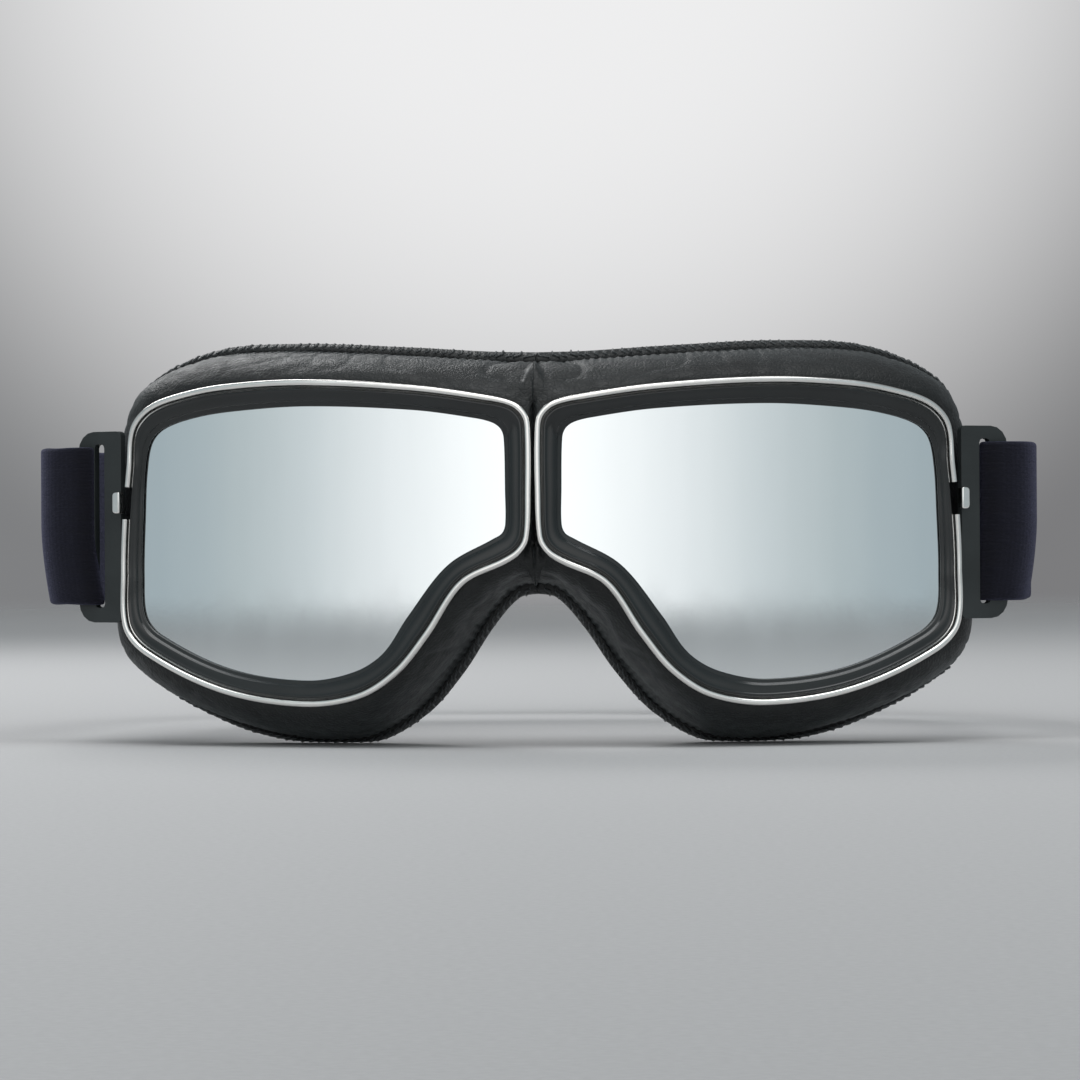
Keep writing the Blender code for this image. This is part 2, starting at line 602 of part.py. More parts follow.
def straps(look, bar_front):
    outer = side_path(0.0)
    mirrored_outer = outer[::-1] * (-1.0, 1.0)
    band("strap_band", np.vstack([outer, mirrored_outer]), look)
    inner_y = REAR - STRAP_THICK - GAP
    inner = side_path(STRAP_THICK + GAP)
    bar_y = bar_front + 0.5 * SLIDER_THICK
    radius = inner_y - bar_y
    turn_x = SLIDER_X - 0.5
    bend = []
    for step in range(7):
        angle = math.radians(90.0 + 180.0 * step / 6)
        bend.append((turn_x + radius * math.cos(angle), bar_y + radius * math.sin(angle)))
    band("strap_return", np.vstack([inner, bend, [(turn_x + STRAP_HEM, bar_y - radius)]]), look)
    tail = side_path(STRAP_THICK + GAP)[:4]
    band("strap_tail", tail, look, mirrored=True)


def main():
    for old in list(bpy.data.objects):
        bpy.data.objects.remove(old, do_unlink=True)

    black = material("gloss_black", (0.012, 0.012, 0.013), roughness=0.18)
    mirror = material("silver_mirror", (0.78, 0.82, 0.84), metallic=1.0, roughness=0.06)
    rubber = material("gasket_rubber", (0.03, 0.03, 0.03), roughness=0.8)
    steel = material("bright_steel", (0.82, 0.8, 0.76), metallic=1.0, roughness=0.12)
    hide = material("black_leather", (0.022, 0.025, 0.026), roughness=0.5)
    sponge = material("grey_foam", (0.12, 0.12, 0.12), roughness=0.95)
    cloth = material("black_lining", (0.02, 0.02, 0.022), roughness=0.95)
    matte = material("matte_plate", (0.03, 0.036, 0.035), roughness=0.55)
    elastic = material("elastic_strap", (0.018, 0.02, 0.028), roughness=0.9)
    moulded = material("matte_black", (0.02, 0.02, 0.02), roughness=0.6)

    eye = Eye()
    for side, name in ((-1, "left"), (1, "right")):
        mirrored = side < 0
        rim_band(f"{name}_rim", eye, steel, mirrored)
        hard_ring(f"{name}_frame", eye, FRAME_SECTION, black, mirrored)
        lens(f"{name}_lens", eye, mirror, mirrored)
        hard_ring(f"{name}_gasket", eye, GASKET_SECTION, rubber, mirrored)
        add_knuckle(hard_ring(f"{name}_retainer", eye, RETAINER_SECTION, moulded, mirrored), side)
        cover = leather(f"{name}_leather", eye, hide, mirrored)
        for pocket in (hinge_pocket(*LEATHER_POCKET), tab_pocket()):
            cut_or_join(cover, pocket, "DIFFERENCE")
        cut_or_join(foam(f"{name}_foam", eye, sponge, mirrored), hinge_pocket(*FOAM_POCKET), "DIFFERENCE")
        lining(f"{name}_lining", eye, cloth, mirrored)
        strap_plate(f"{name}_plate", matte, mirrored)
        clasp(f"{name}_clasp", steel, mirrored)
        band(f"{name}_turn", turn_path(), elastic, mirrored)
    bridge(moulded, steel)
    straps(elastic, slider(moulded))


main()
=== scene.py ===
"""Folding motorcycle goggles: the finished surfaces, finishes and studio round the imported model.

Shapes are worked out in millimetres and laid down in metres, +Z up, the lenses facing -Y, left at -X.
Both eye frames lie on one upright cylinder, so a point of a frame is (u, z, w): u along the curved front from
the centre plane, z the height and w the depth behind the front.
"""

import itertools
import logging
import math
from dataclasses import dataclass, field
from enum import Enum
from typing import Optional, Sequence

import bmesh
import bpy
import numpy as np
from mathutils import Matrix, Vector

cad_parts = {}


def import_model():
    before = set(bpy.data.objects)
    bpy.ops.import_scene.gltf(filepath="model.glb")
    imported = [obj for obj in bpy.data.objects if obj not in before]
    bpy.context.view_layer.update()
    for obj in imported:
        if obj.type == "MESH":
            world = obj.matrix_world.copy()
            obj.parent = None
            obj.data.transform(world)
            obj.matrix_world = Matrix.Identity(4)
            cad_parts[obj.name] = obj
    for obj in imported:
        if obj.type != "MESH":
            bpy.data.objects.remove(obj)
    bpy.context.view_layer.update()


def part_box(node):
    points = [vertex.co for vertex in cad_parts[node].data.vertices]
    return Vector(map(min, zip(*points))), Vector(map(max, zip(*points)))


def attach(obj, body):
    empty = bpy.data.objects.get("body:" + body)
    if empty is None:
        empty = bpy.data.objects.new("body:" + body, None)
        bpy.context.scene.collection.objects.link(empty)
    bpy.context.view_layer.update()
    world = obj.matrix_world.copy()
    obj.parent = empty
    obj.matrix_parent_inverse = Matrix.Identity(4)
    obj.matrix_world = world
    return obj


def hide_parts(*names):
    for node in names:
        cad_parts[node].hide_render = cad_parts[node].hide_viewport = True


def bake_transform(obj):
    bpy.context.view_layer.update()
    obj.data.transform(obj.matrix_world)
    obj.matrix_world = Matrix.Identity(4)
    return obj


LOG = logging.getLogger("goggles")
MM = 0.001
ORIGIN_DEPTH = 87.75
FLOOR = -1.2

# Round the right eye, from the nose over the top: rim line (u, z), lens opening (u, z), sewn edge (x, y, z)
STATIONS = (
    ((1.0, 48.0), (5.6, 48.0), (0.15, 16.0, 48.0)),
    ((1.0, 59.0), (5.8, 58.0), (0.15, 16.0, 60.0)),
    ((1.5, 62.2), (6.4, 59.8), (0.15, 17.0, 67.5)),
    ((3.8, 64.4), (8.0, 61.0), (0.15, 18.5, 75.0)),
    ((9.5, 65.8), (11.5, 61.9), (9.5, 20.5, 75.3)),
    ((24.0, 67.8), (24.0, 63.6), (24.0, 24.0, 76.3)),
    ((46.0, 69.1), (46.0, 64.6), (45.0, 28.5, 77.4)),
    ((62.5, 68.5), (61.5, 63.9), (61.0, 33.5, 77.0)),
    ((72.0, 67.1), (70.5, 62.8), (70.5, 38.0, 74.6)),
    ((80.0, 64.7), (78.0, 60.7), (78.5, 42.0, 70.0)),
    ((84.0, 60.8), (81.0, 58.0), (82.0, 44.5, 64.0)),
    ((85.0, 53.0), (82.3, 52.5), (83.2, 46.5, 56.0)),
    ((86.0, 44.0), (82.8, 44.0), (83.8, 47.5, 45.5)),
    ((86.5, 33.0), (83.2, 32.0), (84.2, 47.5, 32.5)),
    ((86.0, 22.0), (82.5, 24.0), (83.4, 46.0, 17.5)),
    ((81.0, 17.0), (78.5, 20.2), (79.0, 43.0, 11.5)),
    ((63.5, 9.8), (62.5, 13.8), (62.0, 35.5, 2.4)),
    ((46.0, 7.3), (46.0, 11.7), (45.0, 31.2, -1.8)),
    ((34.5, 8.9), (36.0, 13.4), (33.0, 29.1, -1.3)),
    ((27.0, 13.5), (30.0, 17.0), (22.5, 27.0, 4.5)),
    ((21.0, 20.6), (25.0, 24.0), (15.0, 23.5, 12.7)),
    ((14.0, 30.5), (17.0, 33.8), (8.8, 20.5, 21.8)),
    ((5.5, 34.7), (8.0, 38.8), (3.8, 19.0, 27.3)),
    ((2.8, 36.5), (6.3, 39.8), (0.15, 18.0, 28.2)),
    ((1.4, 39.0), (5.6, 41.5), (0.15, 16.5, 37.0)),
)
CORNER_STATIONS = (3, 23)


class Side(Enum):
    """Which eye a piece belongs to, seen from the front."""

    LEFT = "left"
    RIGHT = "right"

    @property
    def mirrored(self) -> bool:
        """Whether the right eye's shape is reflected in the centre plane."""
        return self is Side.LEFT

    @property
    def sign(self) -> float:
        """The sign of x on this side."""
        return -1.0 if self is Side.LEFT else 1.0

    @property
    def body(self) -> str:
        """The moving body of this eye."""
        return f"{self.value}_eye"


# ---------------------------------------------------------------- numbers on arrays


def ease(low: float, high: float, value: np.ndarray) -> np.ndarray:
    """Smooth step: 0 below low, 1 above high, t * t * (3 - 2 t) between."""
    t = np.clip((np.asarray(value, float) - low) / (high - low), 0.0, 1.0)
    return t * t * (3.0 - 2.0 * t)


def unit(vectors: np.ndarray) -> np.ndarray:
    """Each vector divided by its length."""
    return vectors / np.maximum(np.linalg.norm(vectors, axis=-1, keepdims=True), 1e-12)


def value_noise(points: np.ndarray, cell: float, seed: int) -> np.ndarray:
    """Smooth random field from -1 to 1.

    Random values stand at the corners of cubes of side cell, and eased trilinear weights blend the eight round
    a point.

    Args:
        points: (..., 3) places in millimetres.
        cell: side of a cube.
        seed: picks the field.

    Returns:
        One value for each point.
    """
    table = np.random.default_rng(seed).uniform(-1.0, 1.0, 4096)
    place = points / cell
    base = np.floor(place).astype(np.int64)
    share = ease(0.0, 1.0, place - base)
    total = np.zeros(points.shape[:-1])
    for corner in itertools.product((0, 1), repeat=3):
        key = ((base + corner) * (73856093, 19349663, 83492791)).sum(-1) % len(table)
        weight = np.prod(np.where(np.array(corner) == 1, share, 1.0 - share), axis=-1)
        total += table[key] * weight
    return total


def closed_curve(points: Sequence, counts: np.ndarray, corners: Sequence[int] = ()) -> np.ndarray:
    """Closed curve through points, as Hermite spans.

    The tangent at a point is (next - last) / (span before + span after). A corner takes the chord instead.

    Args:
        points: (N, D) places it goes through.
        counts: how many points each span gets.
        corners: the points where it may turn sharply.

    Returns:
        (sum of counts, D) points.
    """
    here = np.array(points, float)
    there = np.roll(here, -1, 0)
    chord = there - here
    span = np.linalg.norm(chord, axis=1)
    tangent = (there - np.roll(here, 1, 0)) / (span + np.roll(span, 1))[:, None]
    leave = tangent * span[:, None]
    arrive = np.roll(tangent, -1, 0) * span[:, None]
    ends = np.array(corners, int)
    leave[ends] = chord[ends]
    arrive[ends - 1] = chord[ends - 1]
    index = np.repeat(np.arange(len(here)), counts)
    t = (np.arange(len(index)) - np.repeat(np.cumsum(counts) - counts, counts)) / np.repeat(counts, counts)
    t = t[:, None]
    return (
        (2 * t**3 - 3 * t**2 + 1) * here[index]
        + (t**3 - 2 * t**2 + t) * leave[index]
        + (3 * t**2 - 2 * t**3) * there[index]
        + (t**3 - t**2) * arrive[index]
    )


def bezier(controls: Sequence, t: np.ndarray) -> np.ndarray:
    """Cubic (1-t)^3 a + 3 (1-t)^2 t b + 3 (1-t) t^2 c + t^3 d at each t."""
    a, b, c, d = (np.array(point, float) for point in controls)
    t = np.asarray(t, float)[:, None]
    return (1 - t) ** 3 * a + 3 * (1 - t) ** 2 * t * b + 3 * (1 - t) * t**2 * c + t**3 * d


def even_path(path: np.ndarray, step: float) -> np.ndarray:
    """The same polyline with points at equal steps of arc length, eased by a short running mean."""
    length = np.concatenate([[0.0], np.cumsum(np.linalg.norm(np.diff(path, axis=0), axis=1))])
    wanted = np.linspace(0.0, length[-1], max(3, int(round(length[-1] / step)) + 1))
    found = np.stack([np.interp(wanted, length, column) for column in path.T], 1)
    eased = found.copy()
    for _ in range(3):
        eased[1:-1] = 0.25 * eased[:-2] + 0.5 * eased[1:-1] + 0.25 * eased[2:]
    return eased


# ---------------------------------------------------------------- meshes


def add_piece(
    name: str,
    points: np.ndarray,
    quads: np.ndarray,
    caps: Sequence[Sequence[int]] = (),
    uv: Optional[np.ndarray] = None,
    mirrored: bool = False,
    sharp: float = 40.0,
) -> bpy.types.Object:
    """One mesh object at the origin, from points in millimetres.

    Faces are turned round where the surface's signed volume, the sum of a . (b x c) over its triangles, is
    negative.

    Args:
        name: the piece's name.
        points: (..., 3) places before the shift to the row's origin.
        quads: (F, 4) point numbers.
        caps: faces with more corners that close the ends.
        uv: (F, 4, 2) pattern coordinates in metres.
        mirrored: reflects the piece in the centre plane.
        sharp: edges that turn by more than this many degrees stay sharp.

    Returns:
        The object.
    """
    places = np.array(points, float).reshape(-1, 3) - (0.0, ORIGIN_DEPTH, FLOOR)
    if mirrored:
        places[:, 0] *= -1.0
    fans = [[(cap[0], cap[k], cap[k + 1]) for k in range(1, len(cap) - 1)] for cap in caps]
    triangles = np.concatenate([quads[:, :3], quads[:, [0, 2, 3]]] + [np.array(fan) for fan in fans])
    corner = places[triangles] - places.mean(0)
    volume = (corner[:, 0] * np.cross(corner[:, 1], corner[:, 2])).sum()
    step = -1 if volume < 0.0 else 1
    faces = quads[:, ::step].tolist() + [list(cap)[::step] for cap in caps]
    mesh = bpy.data.meshes.new(name)
    mesh.from_pydata((places * MM).tolist(), [], faces)
    if uv is not None:
        layer = mesh.uv_layers.new(name="pattern")
        flat = np.zeros((len(mesh.loops), 2))
        flat[: 4 * len(quads)] = uv[:, ::step].reshape(-1, 2)
        layer.data.foreach_set("uv", flat.ravel())
    mesh.shade_smooth()
    mesh.set_sharp_from_angle(angle=math.radians(sharp))
    made = bpy.data.objects.new(name, mesh)
    bpy.context.scene.collection.objects.link(made)
    return made


def grid_quads(across: int, along: int, round_across: bool, round_along: bool) -> np.ndarray:
    """Quads of a grid of across rows and along columns, closed round either way."""
    rows = np.arange(across if round_across else across - 1)
    columns = np.arange(along if round_along else along - 1)
    i, j = (index.ravel() for index in np.meshgrid(rows, columns, indexing="ij"))
    next_i, next_j = (i + 1) % across, (j + 1) % along
    return np.stack([i * along + j, next_i * along + j, next_i * along + next_j, i * along + next_j], 1)


def ring_piece(
    name: str, lines: Sequence, side: Side, closed: bool = True, sharp: float = 40.0
) -> bpy.types.Object:
    """A tube through closed lines of equal length, or a split one with capped ends."""
    grid = np.array(lines)
    across, along = grid.shape[:2]
    quads = grid_quads(across, along, True, closed)
    caps: list = []
    if not closed:
        first = np.arange(across) * along
        caps = [first.tolist(), (first + along - 1)[::-1].tolist()]
    return add_piece(name, grid, quads, caps, mirrored=side.mirrored, sharp=sharp)


def threads(
    name: str, paths: np.ndarray, lean: np.ndarray, radius: float, mirrored: bool, sides: int = 6
) -> bpy.types.Object:
    """Short threads, each a thin tube that narrows to its ends.

    Ring k of a thread lies at p + r (cos k n + sin k b), where n is lean made square to the thread, b = t x n and
    r = radius sqrt(1 - 0.9 q^4), with q from -1 to 1 along it.

    Args:
        name: the piece's name.
        paths: (S, M, 3) middle lines.
        lean: (S, 3) or (S, M, 3) directions away from the surface.
        radius: half the thread's thickness.
        mirrored: reflects the piece in the centre plane.
        sides: points round a thread.

    Returns:
        The object.
    """
    number, along = paths.shape[:2]
    ahead = unit(np.gradient(paths, axis=1))
    lean = np.broadcast_to(lean if lean.ndim == 3 else lean[:, None], paths.shape)
    beside = unit(np.cross(ahead, lean))
    lift = np.cross(beside, ahead)
    q = np.linspace(-1.0, 1.0, along)
    reach = (radius * np.sqrt(1.0 - 0.9 * q**4))[None, :, None, None]
    turn = np.arange(sides) * (2.0 * math.pi / sides)
    cosine, sine = (f(turn)[None, None, :, None] for f in (np.cos, np.sin))
    spokes = cosine * lift[:, :, None] + sine * beside[:, :, None]
    points = paths[:, :, None] + reach * spokes
    one = grid_quads(along, sides, False, True)
    starts = np.arange(number) * along * sides
    quads = (one[None] + starts[:, None, None]).reshape(-1, 4)
    first = np.arange(sides)
    caps = [(first + start).tolist() for start in starts]
    caps += [(first[::-1] + start + (along - 1) * sides).tolist() for start in starts]
    return add_piece(name, points, quads, caps, mirrored=mirrored, sharp=80.0)


def cad_shell(node: str, name: str, bevel: float = 0.0, segments: int = 2) -> bpy.types.Object:
    """A merged copy of a CAD node's mesh with its edges rounded, in millimetres."""
    mesh = bpy.data.objects[node].data.copy()
    mesh.name = name
    work = bmesh.new()
    work.from_mesh(mesh)
    bmesh.ops.remove_doubles(work, verts=work.verts, dist=1e-6)
    bmesh.ops.dissolve_limit(work, angle_limit=math.radians(1.5), verts=work.verts, edges=work.edges)
    work.to_mesh(mesh)
    work.free()
    mesh.shade_smooth()
    mesh.set_sharp_from_angle(angle=math.radians(35.0))
    made = bpy.data.objects.new(name, mesh)
    bpy.context.scene.collection.objects.link(made)
    if bevel:
        soften = made.modifiers.new("rounded edges", "BEVEL")
        soften.width = bevel * MM
        soften.segments = segments
        soften.limit_method = "ANGLE"
        soften.angle_limit = math.radians(35.0)
        soften.harden_normals = True
    return made


# ---------------------------------------------------------------- finishes


class Recipe:
    """A node tree under construction. A material's tree ends in one Principled shader."""

    def __init__(self, owner: bpy.types.ID) -> None:
        self.owner = owner
        owner.use_nodes = True
        self.tree = owner.node_tree
        self.shader = self.tree.nodes.get("Principled BSDF")

    @classmethod
    def material(cls, name: str) -> "Recipe":
        """A recipe for a new material."""
        return cls(bpy.data.materials.new(name))

    def add(self, kind: str, inputs: dict, **settings: object) -> bpy.types.Node:
        """Adds a node, and gives each named input a value or a link.

        Args:
            kind: the node's type without its ShaderNode prefix.
            inputs: input name or number to value or socket.
            settings: properties of the node.

        Returns:
            The node.
        """
        node = self.tree.nodes.new("ShaderNode" + kind)
        for key, value in settings.items():
            setattr(node, key, value)
        self.feed(node, inputs)
        return node

    def feed(self, node: bpy.types.Node, inputs: dict) -> None:
        """Sets or links a node's inputs."""
        for key, value in inputs.items():
            if isinstance(value, bpy.types.NodeSocket):
                self.tree.links.new(value, node.inputs[key])
            else:
                node.inputs[key].default_value = value

    def places(self, stretch: Sequence[float] = (1.0, 1.0, 1.0)) -> bpy.types.NodeSocket:
        """Object coordinates, stretched along each axis."""
        coordinates = self.add("TexCoord", {})
        return self.add("Mapping", {"Vector": coordinates.outputs["Object"], "Scale": stretch}).outputs[0]

    def pattern(self, stretch: Sequence[float] = (1.0, 1.0, 1.0)) -> bpy.types.NodeSocket:
        """The piece's own pattern coordinates, stretched along each axis."""
        coordinates = self.add("UVMap", {}, uv_map="pattern")
        return self.add("Mapping", {"Vector": coordinates.outputs[0], "Scale": stretch}).outputs[0]

    def noise(self, vector: bpy.types.NodeSocket, scale: float, detail: float = 4.0) -> bpy.types.NodeSocket:
        """Fractal noise with cells of 1 / scale metres."""
        return self.add("TexNoise", {"Vector": vector, "Scale": scale, "Detail": detail}).outputs[0]

    def span(self, value: bpy.types.NodeSocket, low: float, high: float) -> bpy.types.NodeSocket:
        """Maps the middle of a noise, 0.3 to 0.7, to the range from low to high."""
        inputs = {"Value": value, 1: 0.3, 2: 0.7, 3: low, 4: high}
        return self.add("MapRange", inputs).outputs[0]

    def blend(
        self, share: bpy.types.NodeSocket, first: Sequence[float], second: Sequence[float]
    ) -> bpy.types.NodeSocket:
        """A colour ramp between two colours as a noise goes from 0.3 to 0.7."""
        ramp = self.add("ValToRGB", {"Fac": share})
        for stop, place, color in zip(ramp.color_ramp.elements, (0.3, 0.7), (first, second)):
            stop.position = place
            stop.color = (*color, 1.0)
        return ramp.outputs[0]

    def bump(
        self,
        height: bpy.types.NodeSocket,
        depth: float,
        strength: float = 1.0,
        under: Optional[bpy.types.NodeSocket] = None,
    ) -> bpy.types.NodeSocket:
        """A bump of depth metres, over an earlier one."""
        inputs = {"Height": height, "Distance": depth, "Strength": strength}
        if under is not None:
            inputs["Normal"] = under
        return self.add("Bump", inputs).outputs[0]

    def finish(self, **inputs: object) -> bpy.types.Material:
        """Feeds the shader, with underscores in the names for spaces."""
        self.feed(self.shader, {key.replace("_", " "): value for key, value in inputs.items()})
        return self.owner


@dataclass(frozen=True)
class Leather:
    """Soft grained hide: pebbled cells, fine pores and broad creases."""

    name: str = "black_leather"
    dark: tuple = (0.0045, 0.0052, 0.0054)
    light: tuple = (0.0105, 0.0125, 0.0130)
    cells: float = 1150.0

    def material(self) -> bpy.types.Material:
        """The hide as a material."""
        made = Recipe.material(self.name)
        place = made.places()
        warp = made.noise(place, 260.0, 3.0)
        bent = made.add("VectorMath", {0: place, 1: made.add(
            "VectorMath", {0: warp, "Scale": 0.0011}, operation="SCALE").outputs[0]}, operation="ADD").outputs[0]
        pebbles = made.add(
            "TexVoronoi", {"Vector": bent, "Scale": self.cells, "Randomness": 0.9}, feature="DISTANCE_TO_EDGE"
        ).outputs[0]
        level = made.add("MapRange", {"Value": pebbles, 1: 0.0, 2: 0.22, 3: 0.0, 4: 1.0}).outputs[0]
        pores = made.noise(place, 2600.0, 5.0)
        folds = made.noise(made.places((1.0, 1.0, 1.8)), 190.0, 5.0)
        normal = made.bump(folds, 0.0009, 0.45)
        normal = made.bump(level, 0.00009, 0.6, normal)
        normal = made.bump(pores, 0.00003, 0.5, normal)
        tone = made.noise(place, 75.0, 6.0)
        return made.finish(
            Base_Color=made.blend(tone, self.dark, self.light),
            Roughness=made.span(made.noise(place, 420.0, 6.0), 0.44, 0.62),
            Specular_IOR_Level=0.42,
            Sheen_Weight=0.1,
            Sheen_Roughness=0.4,
            Sheen_Tint=(0.75, 0.88, 0.92, 1.0),
            Normal=normal,
        )


@dataclass(frozen=True)
class Moulding:
    """Moulded or coated surface: gloss or matte, with a fine texture and slightly uneven shine."""

    name: str
    color: tuple
    smooth: float
    rough: float
    texture: float = 0.00001
    grain: float = 1500.0
    coat: float = 0.0
    metallic: float = 0.0

    def material(self) -> bpy.types.Material:
        """The moulding as a material."""
        made = Recipe.material(self.name)
        place = made.places()
        lighter = tuple(min(1.0, 1.5 * channel + 0.002) for channel in self.color)
        normal = made.bump(made.noise(place, self.grain, 5.0), self.texture, 0.7)
        handled = made.noise(place, 95.0, 7.0)
        return made.finish(
            Base_Color=made.blend(handled, self.color, lighter),
            Roughness=made.span(handled, self.smooth, self.rough),
            Metallic=self.metallic,
            Coat_Weight=self.coat,
            Coat_Roughness=0.06,
            Normal=normal,
        )


@dataclass(frozen=True)
class Plating:
    """Bright plated metal: warm white, faintly drawn along its length, with hazy patches."""

    name: str = "bright_steel"
    color: tuple = (0.97, 0.955, 0.925)
    smooth: float = 0.12
    rough: float = 0.26

    def material(self) -> bpy.types.Material:
        """The plating as a material."""
        made = Recipe.material(self.name)
        place = made.places()
        haze = made.noise(place, 160.0, 8.0)
        drawn = made.noise(made.places((1.0, 1.0, 0.15)), 2400.0, 3.0)
        shade = tuple(0.9 * channel for channel in self.color)
        return made.finish(
            Base_Color=made.blend(haze, shade, self.color),
            Metallic=1.0,
            Roughness=made.span(haze, self.smooth, self.rough),
            Normal=made.bump(drawn, 0.000003, 0.5),
        )


@dataclass(frozen=True)
class MirrorCoat:
    """Silver mirror coat on the front of the lens, with the faintest wipe marks."""

    name: str = "silver_mirror"
    color: tuple = (0.905, 0.94, 0.95)

    def material(self) -> bpy.types.Material:
        """The coat as a material."""
        made = Recipe.material(self.name)
        wiped = made.noise(made.places((1.0, 1.0, 0.35)), 140.0, 8.0)
        return made.finish(
            Base_Color=made.blend(wiped, tuple(0.985 * channel for channel in self.color), self.color),
            Metallic=1.0,
            Roughness=made.span(wiped, 0.02, 0.055),
        )


@dataclass(frozen=True)
class Cloth:
    """Knitted or brushed cloth on foam: fine fibres with a soft sheen."""

    name: str
    color: tuple
    fibre: float = 3200.0
    depth: float = 0.00035
    sheen: float = 0.5

    def material(self) -> bpy.types.Material:
        """The cloth as a material."""
        made = Recipe.material(self.name)
        place = made.places()
        pile = made.noise(place, self.fibre, 6.0)
        tufts = made.noise(place, self.fibre / 6.0, 5.0)
        lighter = tuple(2.2 * channel for channel in self.color)
        normal = made.bump(pile, self.depth, 0.7, made.bump(tufts, 2.0 * self.depth, 0.5))
        return made.finish(
            Base_Color=made.blend(pile, self.color, lighter),
            Roughness=made.span(tufts, 0.85, 1.0),
            Specular_IOR_Level=0.2,
            Sheen_Weight=self.sheen,
            Sheen_Roughness=0.55,
            Sheen_Tint=(0.7, 0.75, 0.9, 1.0),
            Normal=normal,
        )


@dataclass(frozen=True)
class Elastic:
    """Woven elastic: fine ribs along its length, crossed by rubber cords, under a short fuzzy pile."""

    name: str = "elastic_strap"
    dark: tuple = (0.0021, 0.0021, 0.0034)
    light: tuple = (0.0068, 0.0068, 0.0105)
    rib: float = 0.00075
    pick: float = 0.0011

    def material(self) -> bpy.types.Material:
        """The weave as a material, along the strap's own pattern coordinates."""
        made = Recipe.material(self.name)
        strands = made.pattern((0.16, 1.0, 1.0))
        fuzz = made.noise(strands, 5200.0, 6.0)
        clumps = made.noise(strands, 900.0, 5.0)
        weave = made.pattern()
        ribs = made.add(
            "TexWave", {"Vector": weave, "Scale": math.pi / (10.0 * self.rib),
                        "Distortion": 1.2, "Detail": 3.0, "Detail Scale": 3.0}, bands_direction="Y"
        ).outputs[1]
        picks = made.add(
            "TexWave", {"Vector": weave, "Scale": math.pi / (10.0 * self.pick),
                        "Distortion": 0.8, "Detail": 2.0, "Detail Scale": 3.0}, bands_direction="X"
        ).outputs[1]
        normal = made.bump(ribs, 0.00007, 0.4)
        normal = made.bump(picks, 0.00004, 0.3, normal)
        normal = made.bump(clumps, 0.00035, 0.7, normal)
        normal = made.bump(fuzz, 0.00022, 0.9, normal)
        tone = made.add("Math", {0: fuzz, 1: clumps}, operation="ADD").outputs[0]
        half = made.add("Math", {0: tone, 1: 0.5}, operation="MULTIPLY").outputs[0]
        return made.finish(
            Base_Color=made.blend(half, self.dark, self.light),
            Roughness=made.span(clumps, 0.8, 1.0),
            Specular_IOR_Level=0.15,
            Sheen_Weight=0.22,
            Sheen_Roughness=0.5,
            Sheen_Tint=(0.6, 0.62, 1.0, 1.0),
            Normal=normal,
        )


@dataclass(frozen=True)
class Thread:
    """Twisted sewing thread with a dull shine."""

    name: str = "sewing_thread"
    color: tuple = (0.018, 0.022, 0.024)

    def material(self) -> bpy.types.Material:
        """The thread as a material."""
        made = Recipe.material(self.name)
        twist = made.add(
            "TexWave", {"Vector": made.places((1.0, 1.0, 1.0)), "Scale": 900.0, "Distortion": 2.0, "Detail": 2.0},
            bands_direction="DIAGONAL",
        ).outputs[1]
        return made.finish(
            Base_Color=made.blend(twist, self.color, tuple(2.0 * channel for channel in self.color)),
            Roughness=0.62,
            Sheen_Weight=0.3,
            Normal=made.bump(twist, 0.00008, 0.8),
        )


@dataclass
class Finishes:
    """Every finish of the goggles, made once."""

    leather: bpy.types.Material = field(init=False)
    thread: bpy.types.Material = field(init=False)
    gloss: bpy.types.Material = field(init=False)
    matte: bpy.types.Material = field(init=False)
    plate: bpy.types.Material = field(init=False)
    rubber: bpy.types.Material = field(init=False)
    chrome: bpy.types.Material = field(init=False)
    mirror: bpy.types.Material = field(init=False)
    smoke: bpy.types.Material = field(init=False)
    cloth: bpy.types.Material = field(init=False)
    elastic: bpy.types.Material = field(init=False)

    def __post_init__(self) -> None:
        self.leather = Leather().material()
        self.thread = Thread().material()
        gloss = (0.0042, 0.0062, 0.0067)
        self.gloss = Moulding("gloss_black", gloss, 0.12, 0.22, 0.000003, 900.0, 0.25).material()
        self.matte = Moulding("matte_black", (0.012, 0.012, 0.013), 0.42, 0.6, 0.00003, 2600.0).material()
        self.plate = Moulding("matte_plate", (0.0155, 0.0195, 0.0200), 0.40, 0.56, 0.00003, 3400.0).material()
        self.rubber = Moulding("gasket_rubber", (0.02, 0.02, 0.021), 0.7, 0.9, 0.00004, 1900.0).material()
        self.chrome = Plating().material()
        self.mirror = MirrorCoat().material()
        self.smoke = Moulding("smoke_lens", (0.012, 0.014, 0.015), 0.05, 0.1, 0.000002, 400.0, 0.6).material()
        self.cloth = Cloth("black_lining", (0.007, 0.007, 0.008)).material()
        self.elastic = Elastic().material()


def dress(piece: bpy.types.Object, *looks: bpy.types.Material) -> bpy.types.Object:
    """Gives a piece its materials."""
    piece.data.materials.clear()
    for look in looks:
        piece.data.materials.append(look)
    return piece


# ---------------------------------------------------------------- lines round an eye


